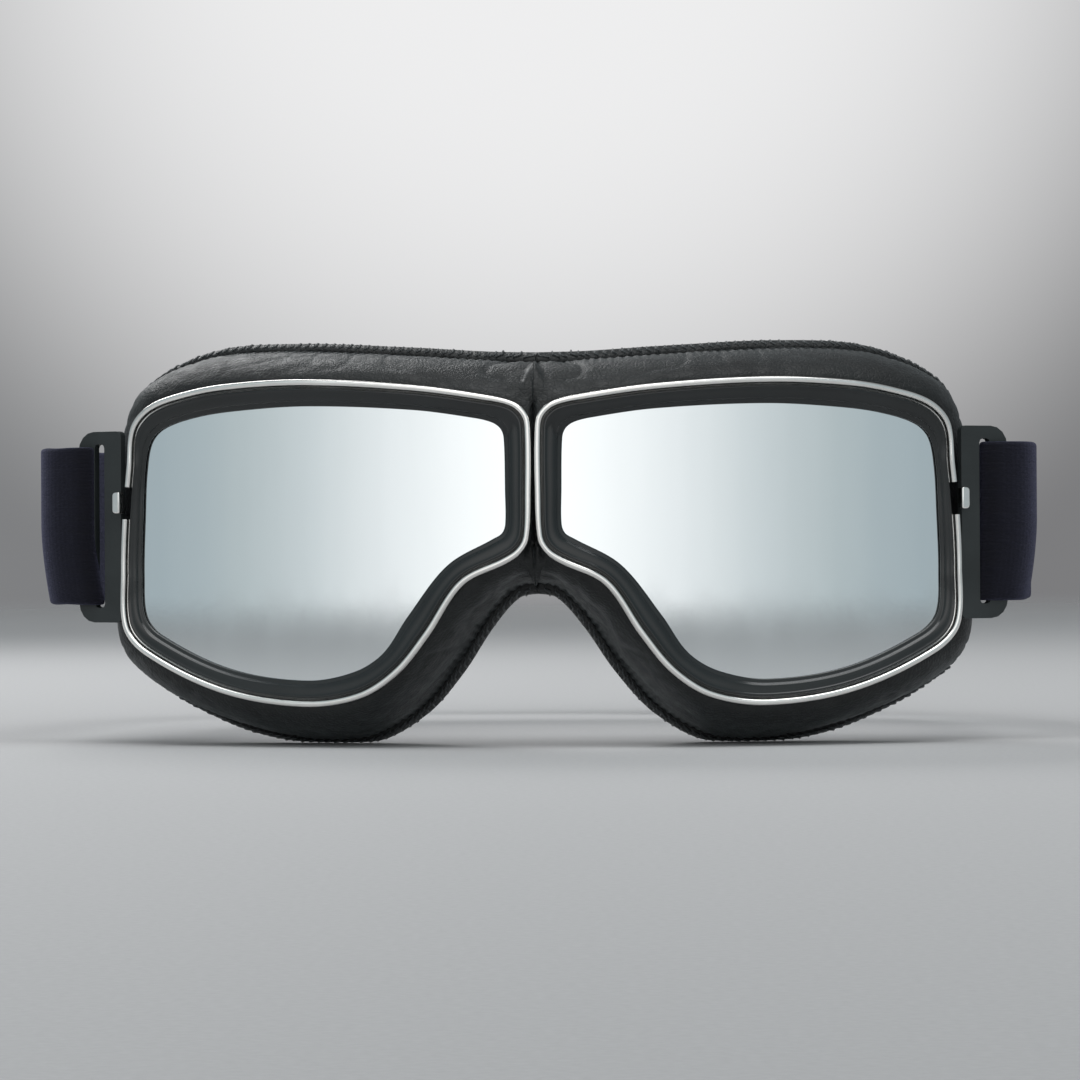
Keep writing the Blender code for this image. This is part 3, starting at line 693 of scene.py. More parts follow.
@dataclass
class EyeLines:
    """The lines round the right eye at one spacing, and the frames that sections are drawn in.

    A hard section is (s, w), s outwards from the rim line. A soft section is (a, w), a outwards along the
    cushion and w behind the leather's turn.
    """

    spacing: float
    front_radius: float = 190.0
    nose_slope: float = math.radians(4.0)
    turn_place: tuple = (0.35, 4.95)

    def __post_init__(self) -> None:
        rim, opening, edge = (np.array([row[k] for row in STATIONS], float) for k in range(3))
        span = np.linalg.norm(np.roll(rim, -1, 0) - rim, axis=1)
        counts = np.maximum(1, np.round(span / self.spacing).astype(int))
        self.rim = closed_curve(rim, counts)
        self.edge = closed_curve(edge, counts, CORNER_STATIONS)
        inwards = closed_curve(opening, counts) - self.rim
        self.depth = np.linalg.norm(inwards, axis=1)
        self.inwards = unit(inwards)
        self.start = self.hard(*self.turn_place)
        turn = self.nose_slope + self.flat(self.turn_place[0])[:, 0] / self.front_radius
        self.back = np.stack([-np.sin(turn), np.cos(turn), np.zeros_like(turn)], 1)
        reach = self.edge - self.start
        self.edge_w = (reach * self.back).sum(1)
        sideways = reach - self.edge_w[:, None] * self.back
        self.edge_a = np.linalg.norm(sideways, axis=1)
        self.sideways = unit(sideways)

    def wrap(self, u: np.ndarray, z: np.ndarray, w: float) -> np.ndarray:
        """Points at angle slope + u / R on the cylinder: R (sin - sin0) - w sin, R (cos0 - cos) + w cos, z."""
        turn = self.nose_slope + np.asarray(u, float) / self.front_radius
        x = self.front_radius * (np.sin(turn) - math.sin(self.nose_slope)) - w * np.sin(turn)
        y = self.front_radius * (math.cos(self.nose_slope) - np.cos(turn)) + w * np.cos(turn)
        return np.stack([x, y, np.broadcast_to(z, x.shape)], -1)

    def flat(self, s: float) -> np.ndarray:
        """(u, z) at s from the rim line, stretched past 1 mm inwards so that -4.4 is the opening."""
        inward = -s if s > -1.0 else 1.0 + (-s - 1.0) * (self.depth - 1.0) / 3.4
        return self.rim + self.inwards * np.reshape(inward, (-1, 1))

    def hard(self, s: float, w: float) -> np.ndarray:
        """World points of a hard section's corner."""
        u, z = self.flat(s).T
        return self.wrap(u, z, w)

    def soft(self, a: np.ndarray, w: np.ndarray) -> np.ndarray:
        """World points at a outwards and w behind the leather's turn."""
        return self.start + self.sideways * np.reshape(a, (-1, 1)) + self.back * np.reshape(w, (-1, 1))


def settle(points: np.ndarray) -> np.ndarray:
    """Keeps soft points on their side of the centre plane, and rests them on the floor.

    x becomes max(0, x - 0.15), eased back to x by 1.6 mm out, so the halves meet. The height h over the floor
    becomes (h + sqrt(h h + 0.64)) / 2 below 6 mm, which is flat where it would sink.
    """
    rested = points.copy()
    x = rested[..., 0]
    rested[..., 0] = np.maximum(x - 0.15 * (1.0 - ease(0.15, 1.6, x)), 0.0)
    height = rested[..., 2] - FLOOR
    rested[..., 2] = FLOOR + np.where(height < 6.0, 0.5 * (height + np.sqrt(height**2 + 0.64)), height)
    return rested


# ---------------------------------------------------------------- the hard front


@dataclass
class FrontSet:
    """The rim band, bezel, lens, seal, clasp and strap plate of one eye."""

    side: Side
    lines: EyeLines
    looks: Finishes
    split_low: float = 43.6
    split_high: float = 49.0
    temple: float = 80.0
    lens_edge: float = -3.25
    lens_depths: tuple = (2.5, 4.3)
    lens_rings: int = 14

    def mount(self, piece: bpy.types.Object, node: str, slot: str, *looks: bpy.types.Material) -> None:
        """Dresses a piece, and has it ride on this eye in place of its CAD node."""
        dress(piece, *looks)
        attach(piece, self.side.body)
        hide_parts(f"{self.side.value}_{node}")
        LOG.info("%s: %d faces", piece.name, len(piece.data.polygons))

    def rim_band(self) -> None:
        """The plated band: a bead with a step on its inner side, split at the temple."""
        turn = np.linspace(math.radians(-15.0), math.radians(195.0), 17)
        bead = [
            (0.62 * math.copysign(abs(math.cos(t)) ** 0.75, math.cos(t)) + 0.02, 0.72 - 0.72 * math.sin(t))
            for t in turn
        ]
        section = [(-0.05, 4.6), (-0.05, 1.5), (0.45, 1.42), *bead, (-0.68, 1.05), (-0.86, 1.12), (-0.86, 1.5)]
        section += [(-0.6, 1.7), (-0.6, 4.6)]
        rim = self.lines.rim
        temple = rim[:, 0] > self.temple
        kept = ~(temple & (rim[:, 1] > self.split_low) & (rim[:, 1] < self.split_high))
        gap = np.flatnonzero(~kept)
        order = (np.arange(kept.sum()) + gap.max() + 1) % len(rim)
        grid = [self.lines.hard(s, w)[order] for s, w in section]
        piece = ring_piece(f"{self.side.value}_rim_band", grid, self.side, False)
        self.mount(piece, "rim", "bright_steel", self.looks.chrome)

    def bezel(self) -> None:
        """The gloss frame: a ridge beside the rim, a hollowed slope and a stepped inner lip."""
        section = [
            (-0.88, 2.4), (-0.92, 1.3), (-1.02, 0.82), (-1.16, 0.6), (-1.34, 0.52), (-1.52, 0.58), (-1.66, 0.72),
            (-1.9, 0.82), (-2.3, 0.86), (-2.7, 0.94), (-3.1, 1.08), (-3.36, 1.26), (-3.5, 1.46), (-3.56, 1.66),
            (-3.72, 1.74), (-4.1, 1.8), (-4.32, 1.88), (-4.42, 2.02), (-4.42, 2.2), (-4.3, 2.3), (-3.3, 2.3),
            (-2.9, 2.4), (-2.9, 5.0), (-2.2, 5.0), (-2.2, 2.6),
        ]
        grid = [self.lines.hard(s, w) for s, w in section]
        piece = ring_piece(f"{self.side.value}_bezel", grid, self.side, sharp=50.0)
        self.mount(piece, "frame", "gloss_black", self.looks.gloss)

    def lens(self) -> None:
        """A curved sheet of rings drawn in towards the middle, whose normals are the cylinder's own."""
        outline = self.lines.flat(self.lens_edge)
        middle = outline.mean(0)
        shrink = np.linspace(1.0, 0.0, self.lens_rings + 1)[:-1]
        number, rings = len(outline), len(shrink)
        flat = middle + (outline - middle)[None] * shrink[:, None, None]
        sheets = [
            np.vstack([self.lines.wrap(flat[..., 0], flat[..., 1], w).reshape(-1, 3),
                       self.lines.wrap(middle[:1], middle[1:], w)])
            for w in self.lens_depths
        ]
        half = rings * number + 1
        quads = grid_quads(rings, number, False, True)
        i = np.arange(number)
        rim = np.stack([i, (i + 1) % number, half + (i + 1) % number, half + i], 1)
        last = (rings - 1) * number
        fans = [(last + k, last + (k + 1) % number, half - 1) for k in range(number)]
        caps = fans + [tuple(half + corner for corner in fan[::-1]) for fan in fans]
        turned = (quads + half)[:, ::-1]
        piece = add_piece(
            f"{self.side.value}_lens_sheet", np.vstack(sheets), np.vstack([quads, turned, rim[:, ::-1]]), caps,
            mirrored=self.side.mirrored, sharp=30.0,
        )
        dress(piece, self.looks.mirror, self.looks.smoke)
        faces = len(piece.data.polygons)
        kind = np.ones(faces, np.int32)
        kind[: len(quads)] = 0
        kind[2 * len(quads) + number : 2 * len(quads) + 2 * number] = 0
        piece.data.polygons.foreach_set("material_index", kind)
        self.polish(piece.data)
        self.mount(piece, "lens", "silver_mirror", self.looks.mirror, self.looks.smoke)

    def polish(self, mesh: bpy.types.Mesh) -> None:
        """Gives the sheet the cylinder's own normals: away from its upright axis in front, towards it behind."""
        corner = np.empty(len(mesh.loops), np.int64)
        mesh.loops.foreach_get("vertex_index", corner)
        place = np.empty(3 * len(mesh.vertices))
        mesh.vertices.foreach_get("co", place)
        face = np.empty(3 * len(mesh.polygons))
        mesh.polygons.foreach_get("normal", face)
        sizes = np.empty(len(mesh.polygons), np.int64)
        mesh.polygons.foreach_get("loop_total", sizes)
        faces = np.repeat(face.reshape(-1, 3), sizes, axis=0)
        radius, slope = self.lines.front_radius, self.lines.nose_slope
        across = -self.side.sign * radius * math.sin(slope)
        axis = np.array([across, radius * math.cos(slope) - ORIGIN_DEPTH]) * MM
        outward = np.zeros((len(corner), 3))
        outward[:, :2] = place.reshape(-1, 3)[corner, :2] - axis
        outward = unit(outward)
        along = (outward * faces).sum(1)
        normals = np.where(np.abs(along)[:, None] > 0.8, outward * np.sign(along)[:, None], faces)
        mesh.normals_split_custom_set(normals.tolist())

    def seal(self) -> None:
        """The gasket and the retaining ring with its hinge barrel, behind the lens."""
        for node, slot, look, bevel in (
            ("gasket", "gasket_rubber", self.looks.rubber, 0.0),
            ("retainer", "matte_black", self.looks.matte, 0.12),
        ):
            name = f"{self.side.value}_{node}"
            self.mount(cad_shell(name, f"{name}_ring", bevel), node, slot, look)

    def clasp(self) -> None:
        """The plated tab across the rim's split."""
        name = f"{self.side.value}_clasp"
        self.mount(cad_shell(name, f"{name}_tab", 0.28, 3), "clasp", "bright_steel", self.looks.chrome)

    def plate(self) -> None:
        """The strap plate with its slot."""
        name = f"{self.side.value}_plate"
        self.mount(cad_shell(name, f"{name}_shell", 0.5, 3), "plate", "matte_plate", self.looks.plate)

    def build(self) -> None:
        """Makes every piece of the set."""
        for make in (self.rim_band, self.bezel, self.lens, self.seal, self.clasp, self.plate):
            make()


# ---------------------------------------------------------------- the cushion


@dataclass
class Cushion:
    """The leather cover, its whip stitches and the lined face pad of one eye."""

    side: Side
    lines: EyeLines
    looks: Finishes
    raise_by: float = 2.7
    fin: float = 2.1
    fin_back: float = 1.5
    pitch: float = 1.75
    thickness: float = 1.1
    bend_end: float = 14.0
    bend_y: float = -0.0715
    bend_z: float = 0.0496
    mouth: tuple = (-4.4, 8.3)
    pad_width: float = 9.0
    nose_side: float = 6.0
    nose_blend: float = 16.0
    nose_lean: float = 1.8
    thread_radius: float = 0.19

    def __post_init__(self) -> None:
        lines = self.lines
        x, z = lines.edge[:, 0], lines.start[:, 2]
        u = lines.rim[:, 0]
        behind_plate = ease(72.0, 80.0, u) * ease(14.0, 20.0, z) * (1.0 - ease(60.0, 68.0, z))
        nose_strip = (1.0 - ease(1.5, 6.0, u)) * ease(35.0, 40.0, z) * (1.0 - ease(58.0, 62.0, z))
        self.raised = self.raise_by * (1.0 - behind_plate) * (1.0 - nose_strip)
        seam, height = x < 1.0, lines.edge[:, 2]
        self.sewn = np.where(seam, np.maximum(ease(73.0, 75.0, height), 1.0 - ease(28.2, 29.5, height)), 1.0)
        self.crease_w = self.seam_depth(seam, height)
        crease = lines.soft(lines.edge_a - self.fin * self.sewn, self.crease_w)
        self.overhang = np.where(seam, crease[:, 0] - lines.edge[:, 0], 0.0).clip(0.0)
        step = np.linalg.norm(np.roll(lines.edge, -1, 0) - lines.edge, axis=1)
        self.run = np.concatenate([[0.0], np.cumsum(step)[:-1]])
        self.around = step.sum()
        self.stitches = int(round(self.around / self.pitch))

    def seam_depth(self, seam: np.ndarray, height: np.ndarray) -> np.ndarray:
        """Depth w of the crease round the cushion, brought forward where the halves meet over and under the rims.

        Along the seam the share q goes from 0 beside the rims to 1 at the edge, and the depth is
        W q^3 - raise (1 - q), so the two halves meet in one even face. Between the rims it stays W.
        """
        full = self.lines.edge_w - self.fin_back * self.sewn
        share = np.maximum((height - 66.0) / 9.0, (37.0 - height) / 8.8).clip(0.0, 1.0)
        forward = full * share**3 - self.raise_by * (1.0 - share)
        between = ease(36.5, 39.5, height) * (1.0 - ease(60.0, 65.0, height))
        return np.where(seam, forward + (full - forward) * between, full)

    def profile(self, t: float) -> tuple:
        """(a, w) at each t of the rolled outside.

        Up to 1 it is the cubic (-0.2, -r), (0.5 A, -r - 0.6), (A, 0.45 W), (A, W) from behind the rim to the
        crease, where A is the edge less the fin and W is seam_depth. From 1 to 2 it is the fin, out to the sewn
        edge, bowed by a sine.
        """
        fin = self.fin * self.sewn
        reach_a = self.lines.edge_a - fin
        reach_w = self.crease_w
        r = self.raised
        if t <= 1.0:
            a = -0.2 * (1 - t) ** 3 + 3 * (1 - t) ** 2 * t * 0.5 * reach_a + (3 * (1 - t) * t**2 + t**3) * reach_a
            w = -r * (1 - t) ** 3 - 3 * (1 - t) ** 2 * t * (r + 0.6 * self.sewn)
            w = w + (3 * (1 - t) * t**2 * 0.45 + t**3) * reach_w
            return a, w
        q = t - 1.0
        a = reach_a + fin * q
        w = reach_w + (self.fin_back * q - 0.55 * math.sin(math.pi * q)) * self.sewn
        return a, w

    def skin(self, t: float, out: float = 0.0, back: float = 0.0) -> np.ndarray:
        """World points at t of the rolled outside, moved out and back. The seam is drawn to the centre plane."""
        a, w = self.profile(t)
        points = self.lines.soft(a + out, w + back)
        points[:, 0] -= self.overhang * ease(0.0, 1.0, t)
        return points

    def cover_grid(self) -> np.ndarray:
        """The outside of the leather, (across, along, 3), with its folds, gathers and creases.

        Each point moves along the surface's normal by a sum of value noises. Next to the fin, gathers follow
        cos(2 pi run / pitch), one to each stitch.
        """
        steps = np.concatenate([np.linspace(0.0, 1.0, 30)[:-1], np.linspace(1.0, 2.0, 9)])
        smooth = np.array([self.skin(t) for t in steps])
        rise = np.gradient(smooth, axis=0)
        round_it = 0.5 * (np.roll(smooth, -1, 1) - np.roll(smooth, 1, 1))
        normal = unit(np.cross(round_it, rise))
        normal *= np.sign(-(normal * self.lines.back[None]).sum(-1).mean())
        t = steps[:, None]
        free = self.sewn[None]
        phase = 2.0 * math.pi * self.run[None] * self.stitches / self.around
        x = smooth[..., 0]
        nose = 1.0 - ease(8.0, 26.0, x)
        soft = value_noise(smooth * (1.0, 0.6, 1.0), 9.0, 3)
        small = value_noise(smooth, 3.4, 4)
        fold = 1.0 - np.abs(value_noise(smooth * (1.0, 0.5, 1.3), 6.5, 5))
        body = ease(0.0, 0.25, t) * (1.0 - ease(0.92, 1.0, t))
        push = body * (0.30 * soft + 0.08 * small - (0.22 + 0.30 * nose) * fold**6) * ease(0.0, 3.0, x)
        push += free * 0.16 * np.cos(phase) * np.exp(-(((t - 1.0) / 0.22) ** 2))
        push += free * 0.10 * small * ease(1.0, 1.3, t)
        grid = smooth + normal * push[..., None]
        tuck = free * 0.20 * (1.0 + np.cos(phase)) * ease(1.45, 2.0, t)
        grid -= self.lines.sideways[None] * tuck[..., None]
        return grid

    def cover(self) -> np.ndarray:
        """The leather as a closed skin. Returns the outside grid for the stitches."""
        outside = self.cover_grid()
        inner = []
        for t, inset in ((2.0, 0.0), (1.6, 1.0), (1.0, 1.0), (0.75, 1.0), (0.5, 1.0), (0.25, 1.0), (0.08, 1.0)):
            tip = 1.0 if t == 2.0 else 0.0
            back = self.thickness * (0.5 * inset + 0.9 * tip)
            inner.append(self.skin(t, -0.9 * inset * self.thickness, back))
        root = [self.lines.hard(-0.02, 4.9), self.lines.hard(0.02, 2.3)]
        grid = settle(np.concatenate([outside, np.array(inner), np.array(root)]))
        piece = ring_piece(f"{self.side.value}_leather_cover", grid, self.side, sharp=75.0)
        self.attach(piece, self.looks.leather, "black_leather", "leather")
        return settle(outside)

    def attach(self, piece: bpy.types.Object, look: bpy.types.Material, slot: str, *nodes: str) -> None:
        """Dresses a soft piece, hides the CAD nodes it stands for and lays its place into its mesh."""
        dress(piece, look)
        if nodes:
            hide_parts(*(f"{self.side.value}_{node}" for node in nodes))
        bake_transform(piece)
        LOG.info("%s: %d faces", piece.name, len(piece.data.polygons))

    def whip_stitches(self, outside: np.ndarray) -> None:
        """Threads from a hole in the fin, over its edge and down the back, one to a gather."""
        at = np.arange(self.stitches) * self.around / self.stitches
        index = np.searchsorted(self.run, at) % outside.shape[1]
        keep = (self.sewn[index] > 0.6) & (self.lines.edge[index, 0] > 0.7)
        index = index[keep]
        slant = (index + 2) % outside.shape[1]
        rows = [-7, -5, -3, -1]
        line = [outside[row, index if row > -4 else slant] for row in rows]
        back, out = self.lines.back[index], self.lines.sideways[index]
        tip = outside[-1, index]
        lift = [0.02, 0.26, 0.30, 0.16]
        path = [point - back * high for point, high in zip(line, lift)]
        path += [tip + out * 0.22 + back * 0.55, tip + out * 0.10 + back * 1.25, tip - out * 0.9 + back * 1.9]
        paths = np.stack(path, 1)
        paths[..., 2] = np.maximum(paths[..., 2], FLOOR + 0.25)
        paths[..., 0] = np.maximum(paths[..., 0], 0.3)
        name = f"{self.side.value}_whip_stitches"
        piece = threads(name, paths, out - back, self.thread_radius, self.side.mirrored)
        self.attach(piece, self.looks.thread, "black_leather")

    def face_pad(self) -> None:
        """The foam pad under its brushed lining: chamber wall, rounded lip, crowned face and the hidden side."""
        lines = self.lines
        inside, front = self.mouth
        mouth = lines.hard(inside, front)
        outwards = unit(lines.hard(inside + 1.0, front) - mouth)
        depth = ((lines.edge - mouth) * lines.back).sum(1)
        away = np.clip((mouth[:, 0] - self.nose_side) / self.nose_blend, 0.0, 1.0)
        wide = lines.edge_a - self.pad_width + lines.turn_place[0] - inside
        lean = away * wide - (1.0 - away) * self.nose_lean
        heel = mouth + lines.back * depth[:, None] + outwards * lean[:, None]
        outer = lines.soft(lines.edge_a - 1.2 * self.sewn - 0.4, lines.edge_w + 0.5)
        wide = np.linalg.norm(outer - heel, axis=1)[:, None]
        across = (outer - heel) / np.maximum(wide, 1e-6)
        lip = np.minimum(0.25 * wide, 2.2)
        wall = [
            mouth + (heel - mouth) * q + outwards * 0.7 * math.sin(math.pi * q) for q in (0.0, 0.25, 0.5, 0.72)
        ]
        turn = [
            heel + across * lip * (1.0 - math.cos(q)) - lines.back * lip * (1.0 - math.sin(q))
            for q in np.linspace(0.0, 0.5 * math.pi, 5)
        ]
        start = heel + across * lip
        crown = [
            start + (outer - start) * q + lines.back * (2.6 * math.sin(math.pi * q**0.8))
            for q in np.linspace(0.0, 1.0, 12)[1:]
        ]
        face = np.array(wall + turn + crown)
        wave = 0.28 * value_noise(face, 7.0, 8) + 0.09 * value_noise(face, 2.6, 9)
        face = face + lines.back[None] * wave[..., None]
        hidden = []
        for t in (1.0, 0.7, 0.4, 0.15):
            a, w = self.profile(t)
            hidden.append(lines.soft(a - 2.0, np.maximum(w, 0.0) + 1.8))
        hidden.append(lines.hard(-2.8, 8.5))
        grid = settle(np.concatenate([face, np.array(hidden)]))
        piece = ring_piece(f"{self.side.value}_face_pad", grid, self.side, sharp=80.0)
        self.attach(piece, self.looks.cloth, "black_lining", "foam", "lining")

    def build(self) -> None:
        """Makes every piece of the cushion."""
        self.whip_stitches(self.cover())
        self.face_pad()


# ---------------------------------------------------------------- the strap


@dataclass
class Strap:
    """The elastic strap: a doubled run on each side, and its end round the slider's middle bar."""

    looks: Finishes
    lines: EyeLines
    width: float = 31.0
    middle: float = 41.8
    thick: float = 1.35
    cad_thick: float = 1.4
    gap: float = 0.3
    turn_radius: float = 1.91
    bulge: float = 6.0
    side_end: float = 52.0
    side_out: float = 97.0
    rear: float = 172.5
    rear_straight: float = 33.0
    side_hold: float = 70.0
    corner_hold: float = 45.0
    plate_outer: float = 98.3
    slot_outer: float = 94.1
    bar_w: float = 1.65
    lean: float = 1.8
    left_bow: float = 2.8
    slider_x: float = 22.0

    def plan(self, u: float, w: float) -> np.ndarray:
        """(x, y) of a point of the front seen from above."""
        return self.lines.wrap(np.array([u]), np.array([0.0]), w)[0, :2]

    def turn(self) -> tuple:
        """Plans of the inner leg, the bend round the plate's bar and the outer leg."""
        radius, bar = self.turn_radius, self.bar_w
        inner = bezier(
            ((self.side_out - self.cad_thick - self.gap, self.side_end), (self.side_out - 1.9, 42.0),
             self.plan(self.plate_outer + self.bulge, bar + radius + 0.7), self.plan(self.plate_outer, bar + radius)),
            np.linspace(0.0, 1.0, 24),
        )
        angle = np.linspace(0.5 * math.pi, 1.5 * math.pi, 17)
        u = self.slot_outer + 0.75 + radius * np.cos(angle)
        w = bar + radius * np.sin(angle)
        bend = np.array([self.plan(*pair) for pair in zip(u, w)])
        outer = bezier(
            (self.plan(self.plate_outer, bar - radius), self.plan(self.plate_outer + self.bulge, bar - radius),
             (self.side_out + 0.6, 41.0), (self.side_out, self.side_end)),
            np.linspace(0.0, 1.0, 24),
        )
        return inner, bend, outer

    def run(self, inset: float) -> np.ndarray:
        """Plan of one layer from the right side to the centre plane at the back, inset towards the head."""
        controls = (
            (self.side_out, self.side_end + self.gap), (self.side_out, self.side_end + self.side_hold),
            (self.rear_straight + self.corner_hold, self.rear), (self.rear_straight, self.rear),
        )
        path = bezier(controls, np.linspace(0.0, 1.0, 80))
        ahead = unit(np.gradient(path, axis=0))
        return path + inset * np.stack([-ahead[:, 1], ahead[:, 0]], 1)

    def ribbon(self, name: str, plan: np.ndarray, side: Side, seed: int) -> bpy.types.Object:
        """A flat strip on edge along a plan, with rounded selvedges and slight waves.

        The section is a rounded rectangle of the strap's width and thickness. Its pattern coordinates are the arc
        lengths along the plan and round the section.
        """
        path = even_path(plan, 0.9)
        ahead = unit(np.gradient(path, axis=0))
        normal = np.stack([-ahead[:, 1], ahead[:, 0]], 1)
        r = 0.5 * self.thick
        flat = np.linspace(-0.5 * self.width + r, 0.5 * self.width - r, 15)
        arc = np.linspace(-0.5 * math.pi, 0.5 * math.pi, 7)[1:-1]
        up = np.concatenate([flat, flat[-1] + r * np.cos(arc), flat[::-1], flat[0] - r * np.cos(arc)])
        out = np.concatenate([np.full(15, -r), r * np.sin(arc), np.full(15, r), -r * np.sin(arc)])
        length = np.concatenate([[0.0], np.cumsum(np.linalg.norm(np.diff(path, axis=0), axis=1))])
        base = np.concatenate([path, np.zeros((len(path), 1))], 1)
        spread = np.concatenate([normal, np.zeros((len(path), 1))], 1)
        grid = base[None] + spread[None] * out[:, None, None]
        front = 1.0 - ease(50.0, 62.0, path[:, 1])
        slope = -self.lean * np.clip(-up / (0.5 * self.width), 0.0, 1.0) ** 1.6
        grid[..., 0] += slope[:, None] * front[None]
        if side is Side.LEFT:
            bow = self.left_bow * np.exp(-(((path[:, 1] - 46.0) / 26.0) ** 2)) * ease(3.0, 25.0, path[:, 1])
            grid[..., 0] += bow[None]
        sway = np.stack([length, np.full_like(length, 3.0 * seed), np.zeros_like(length)], 1)
        edge = 0.22 * value_noise(sway, 4.0, seed)
        grid[..., 2] = self.middle + up[:, None] * (1.0 + edge[None] / self.width)
        edges = np.hypot(np.diff(up, append=up[0]), np.diff(out, append=out[0]))
        around = np.concatenate([[0.0], np.cumsum(edges)])
        across, along = grid.shape[:2]
        quads = grid_quads(across, along, True, False)
        i, j = np.divmod(np.arange(across * (along - 1)), along - 1)
        uv = np.stack([
            np.stack([length[j], around[i]], 1), np.stack([length[j], around[i + 1]], 1),
            np.stack([length[j + 1], around[i + 1]], 1), np.stack([length[j + 1], around[i]], 1),
        ], 1) * MM
        first = np.arange(across) * along
        caps = [first.tolist(), (first + along - 1)[::-1].tolist()]
        piece = add_piece(name, grid, quads, caps, uv, side.mirrored, 70.0)
        return dress(piece, self.looks.elastic)

    def hang(self, piece: bpy.types.Object, side: Side, *nodes: str) -> None:
        """Hides the CAD nodes that a run stands for and lays its place into its mesh."""
        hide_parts(*nodes)
        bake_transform(piece)
        LOG.info("%s: %d faces", piece.name, len(piece.data.polygons))

    def build(self) -> None:
        """Makes the two side runs and the end at the slider."""
        inner, bend, outer = self.turn()
        layer = self.cad_thick + self.gap
        meet = [(self.slider_x, self.rear)]
        inner_run = self.run(layer)[::-1]
        doubled = np.vstack([inner_run, inner[1:], bend, outer, self.run(0.0), meet])
        piece = self.ribbon("right_strap_run", doubled, Side.RIGHT, 21)
        self.hang(piece, Side.RIGHT, "right_turn", "strap_band", "strap_return")
        tail = self.run(layer)[:22][::-1]
        sewn = np.vstack([tail, inner[1:], bend, outer, self.run(0.0), [(-self.slider_x, self.rear)]])
        piece = self.ribbon("left_strap_run", sewn, Side.LEFT, 22)
        self.hang(piece, Side.LEFT, "left_turn", "strap_band", "strap_tail")

        inner_y = self.rear - layer
        bar_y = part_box("slider")[0].y / MM + ORIGIN_DEPTH + 1.0
        radius = inner_y - bar_y
        angle = np.linspace(0.5 * math.pi, 1.5 * math.pi, 17)
        turn_x = self.slider_x - 0.5
        loop = np.stack([turn_x + radius * np.cos(angle), bar_y + radius * np.sin(angle)], 1)
        end = np.vstack([[(self.rear_straight, inner_y)], loop, [(turn_x + 12.0, bar_y - radius)]])
        piece = self.ribbon("strap_end", end, Side.RIGHT, 23)
        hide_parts("strap_return")
        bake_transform(piece)
        self.tacks()

    def tacks(self) -> None:
        """Two rows of small stitches through the doubled tail on the left."""
        path = self.run(0.0)
        for number, place in enumerate((16, 20)):
            here = path[place]
            ahead = unit(path[place + 1] - path[place - 1])
            out = np.array([ahead[1], -ahead[0], 0.0])
            heights = self.middle + np.arange(-13.5, 13.6, 1.8)
            q = np.linspace(-0.62, 0.62, 5)
            lift = 0.5 * self.thick + 0.10 - 0.30 * (q / 0.62) ** 4
            paths = np.zeros((len(heights), 5, 3))
            paths[..., :2] = here + out[None, None, :2] * lift[None, :, None]
            paths[..., 2] = heights[:, None] + q[None]
            piece = threads(f"tail_tacks_{number + 1}", paths, np.tile(out, (len(heights), 1)), 0.2, True)
            dress(piece, self.looks.thread)
            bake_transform(piece)


# ---------------------------------------------------------------- the small hardware


@dataclass
class Hardware:
    """The hinge between the rims and the slider at the back."""

    looks: Finishes

    def build(self) -> None:
        """Makes the bridge block, its pins and the slider."""
        rows = (
            ("bridge_block", "bridge", "matte_black", self.looks.matte, 0.15),
            ("left_pin", "bridge", "bright_steel", self.looks.chrome, 0.1),
            ("right_pin", "bridge", "bright_steel", self.looks.chrome, 0.1),
            ("slider", "buckle", "matte_black", self.looks.matte, 0.0),
        )
        for node, body, slot, look, bevel in rows:
            piece = dress(cad_shell(node, f"{node}_shell", bevel), look)
            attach(piece, body)
            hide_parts(node)
            LOG.info("%s: %d faces", piece.name, len(piece.data.polygons))


# ---------------------------------------------------------------- the studio


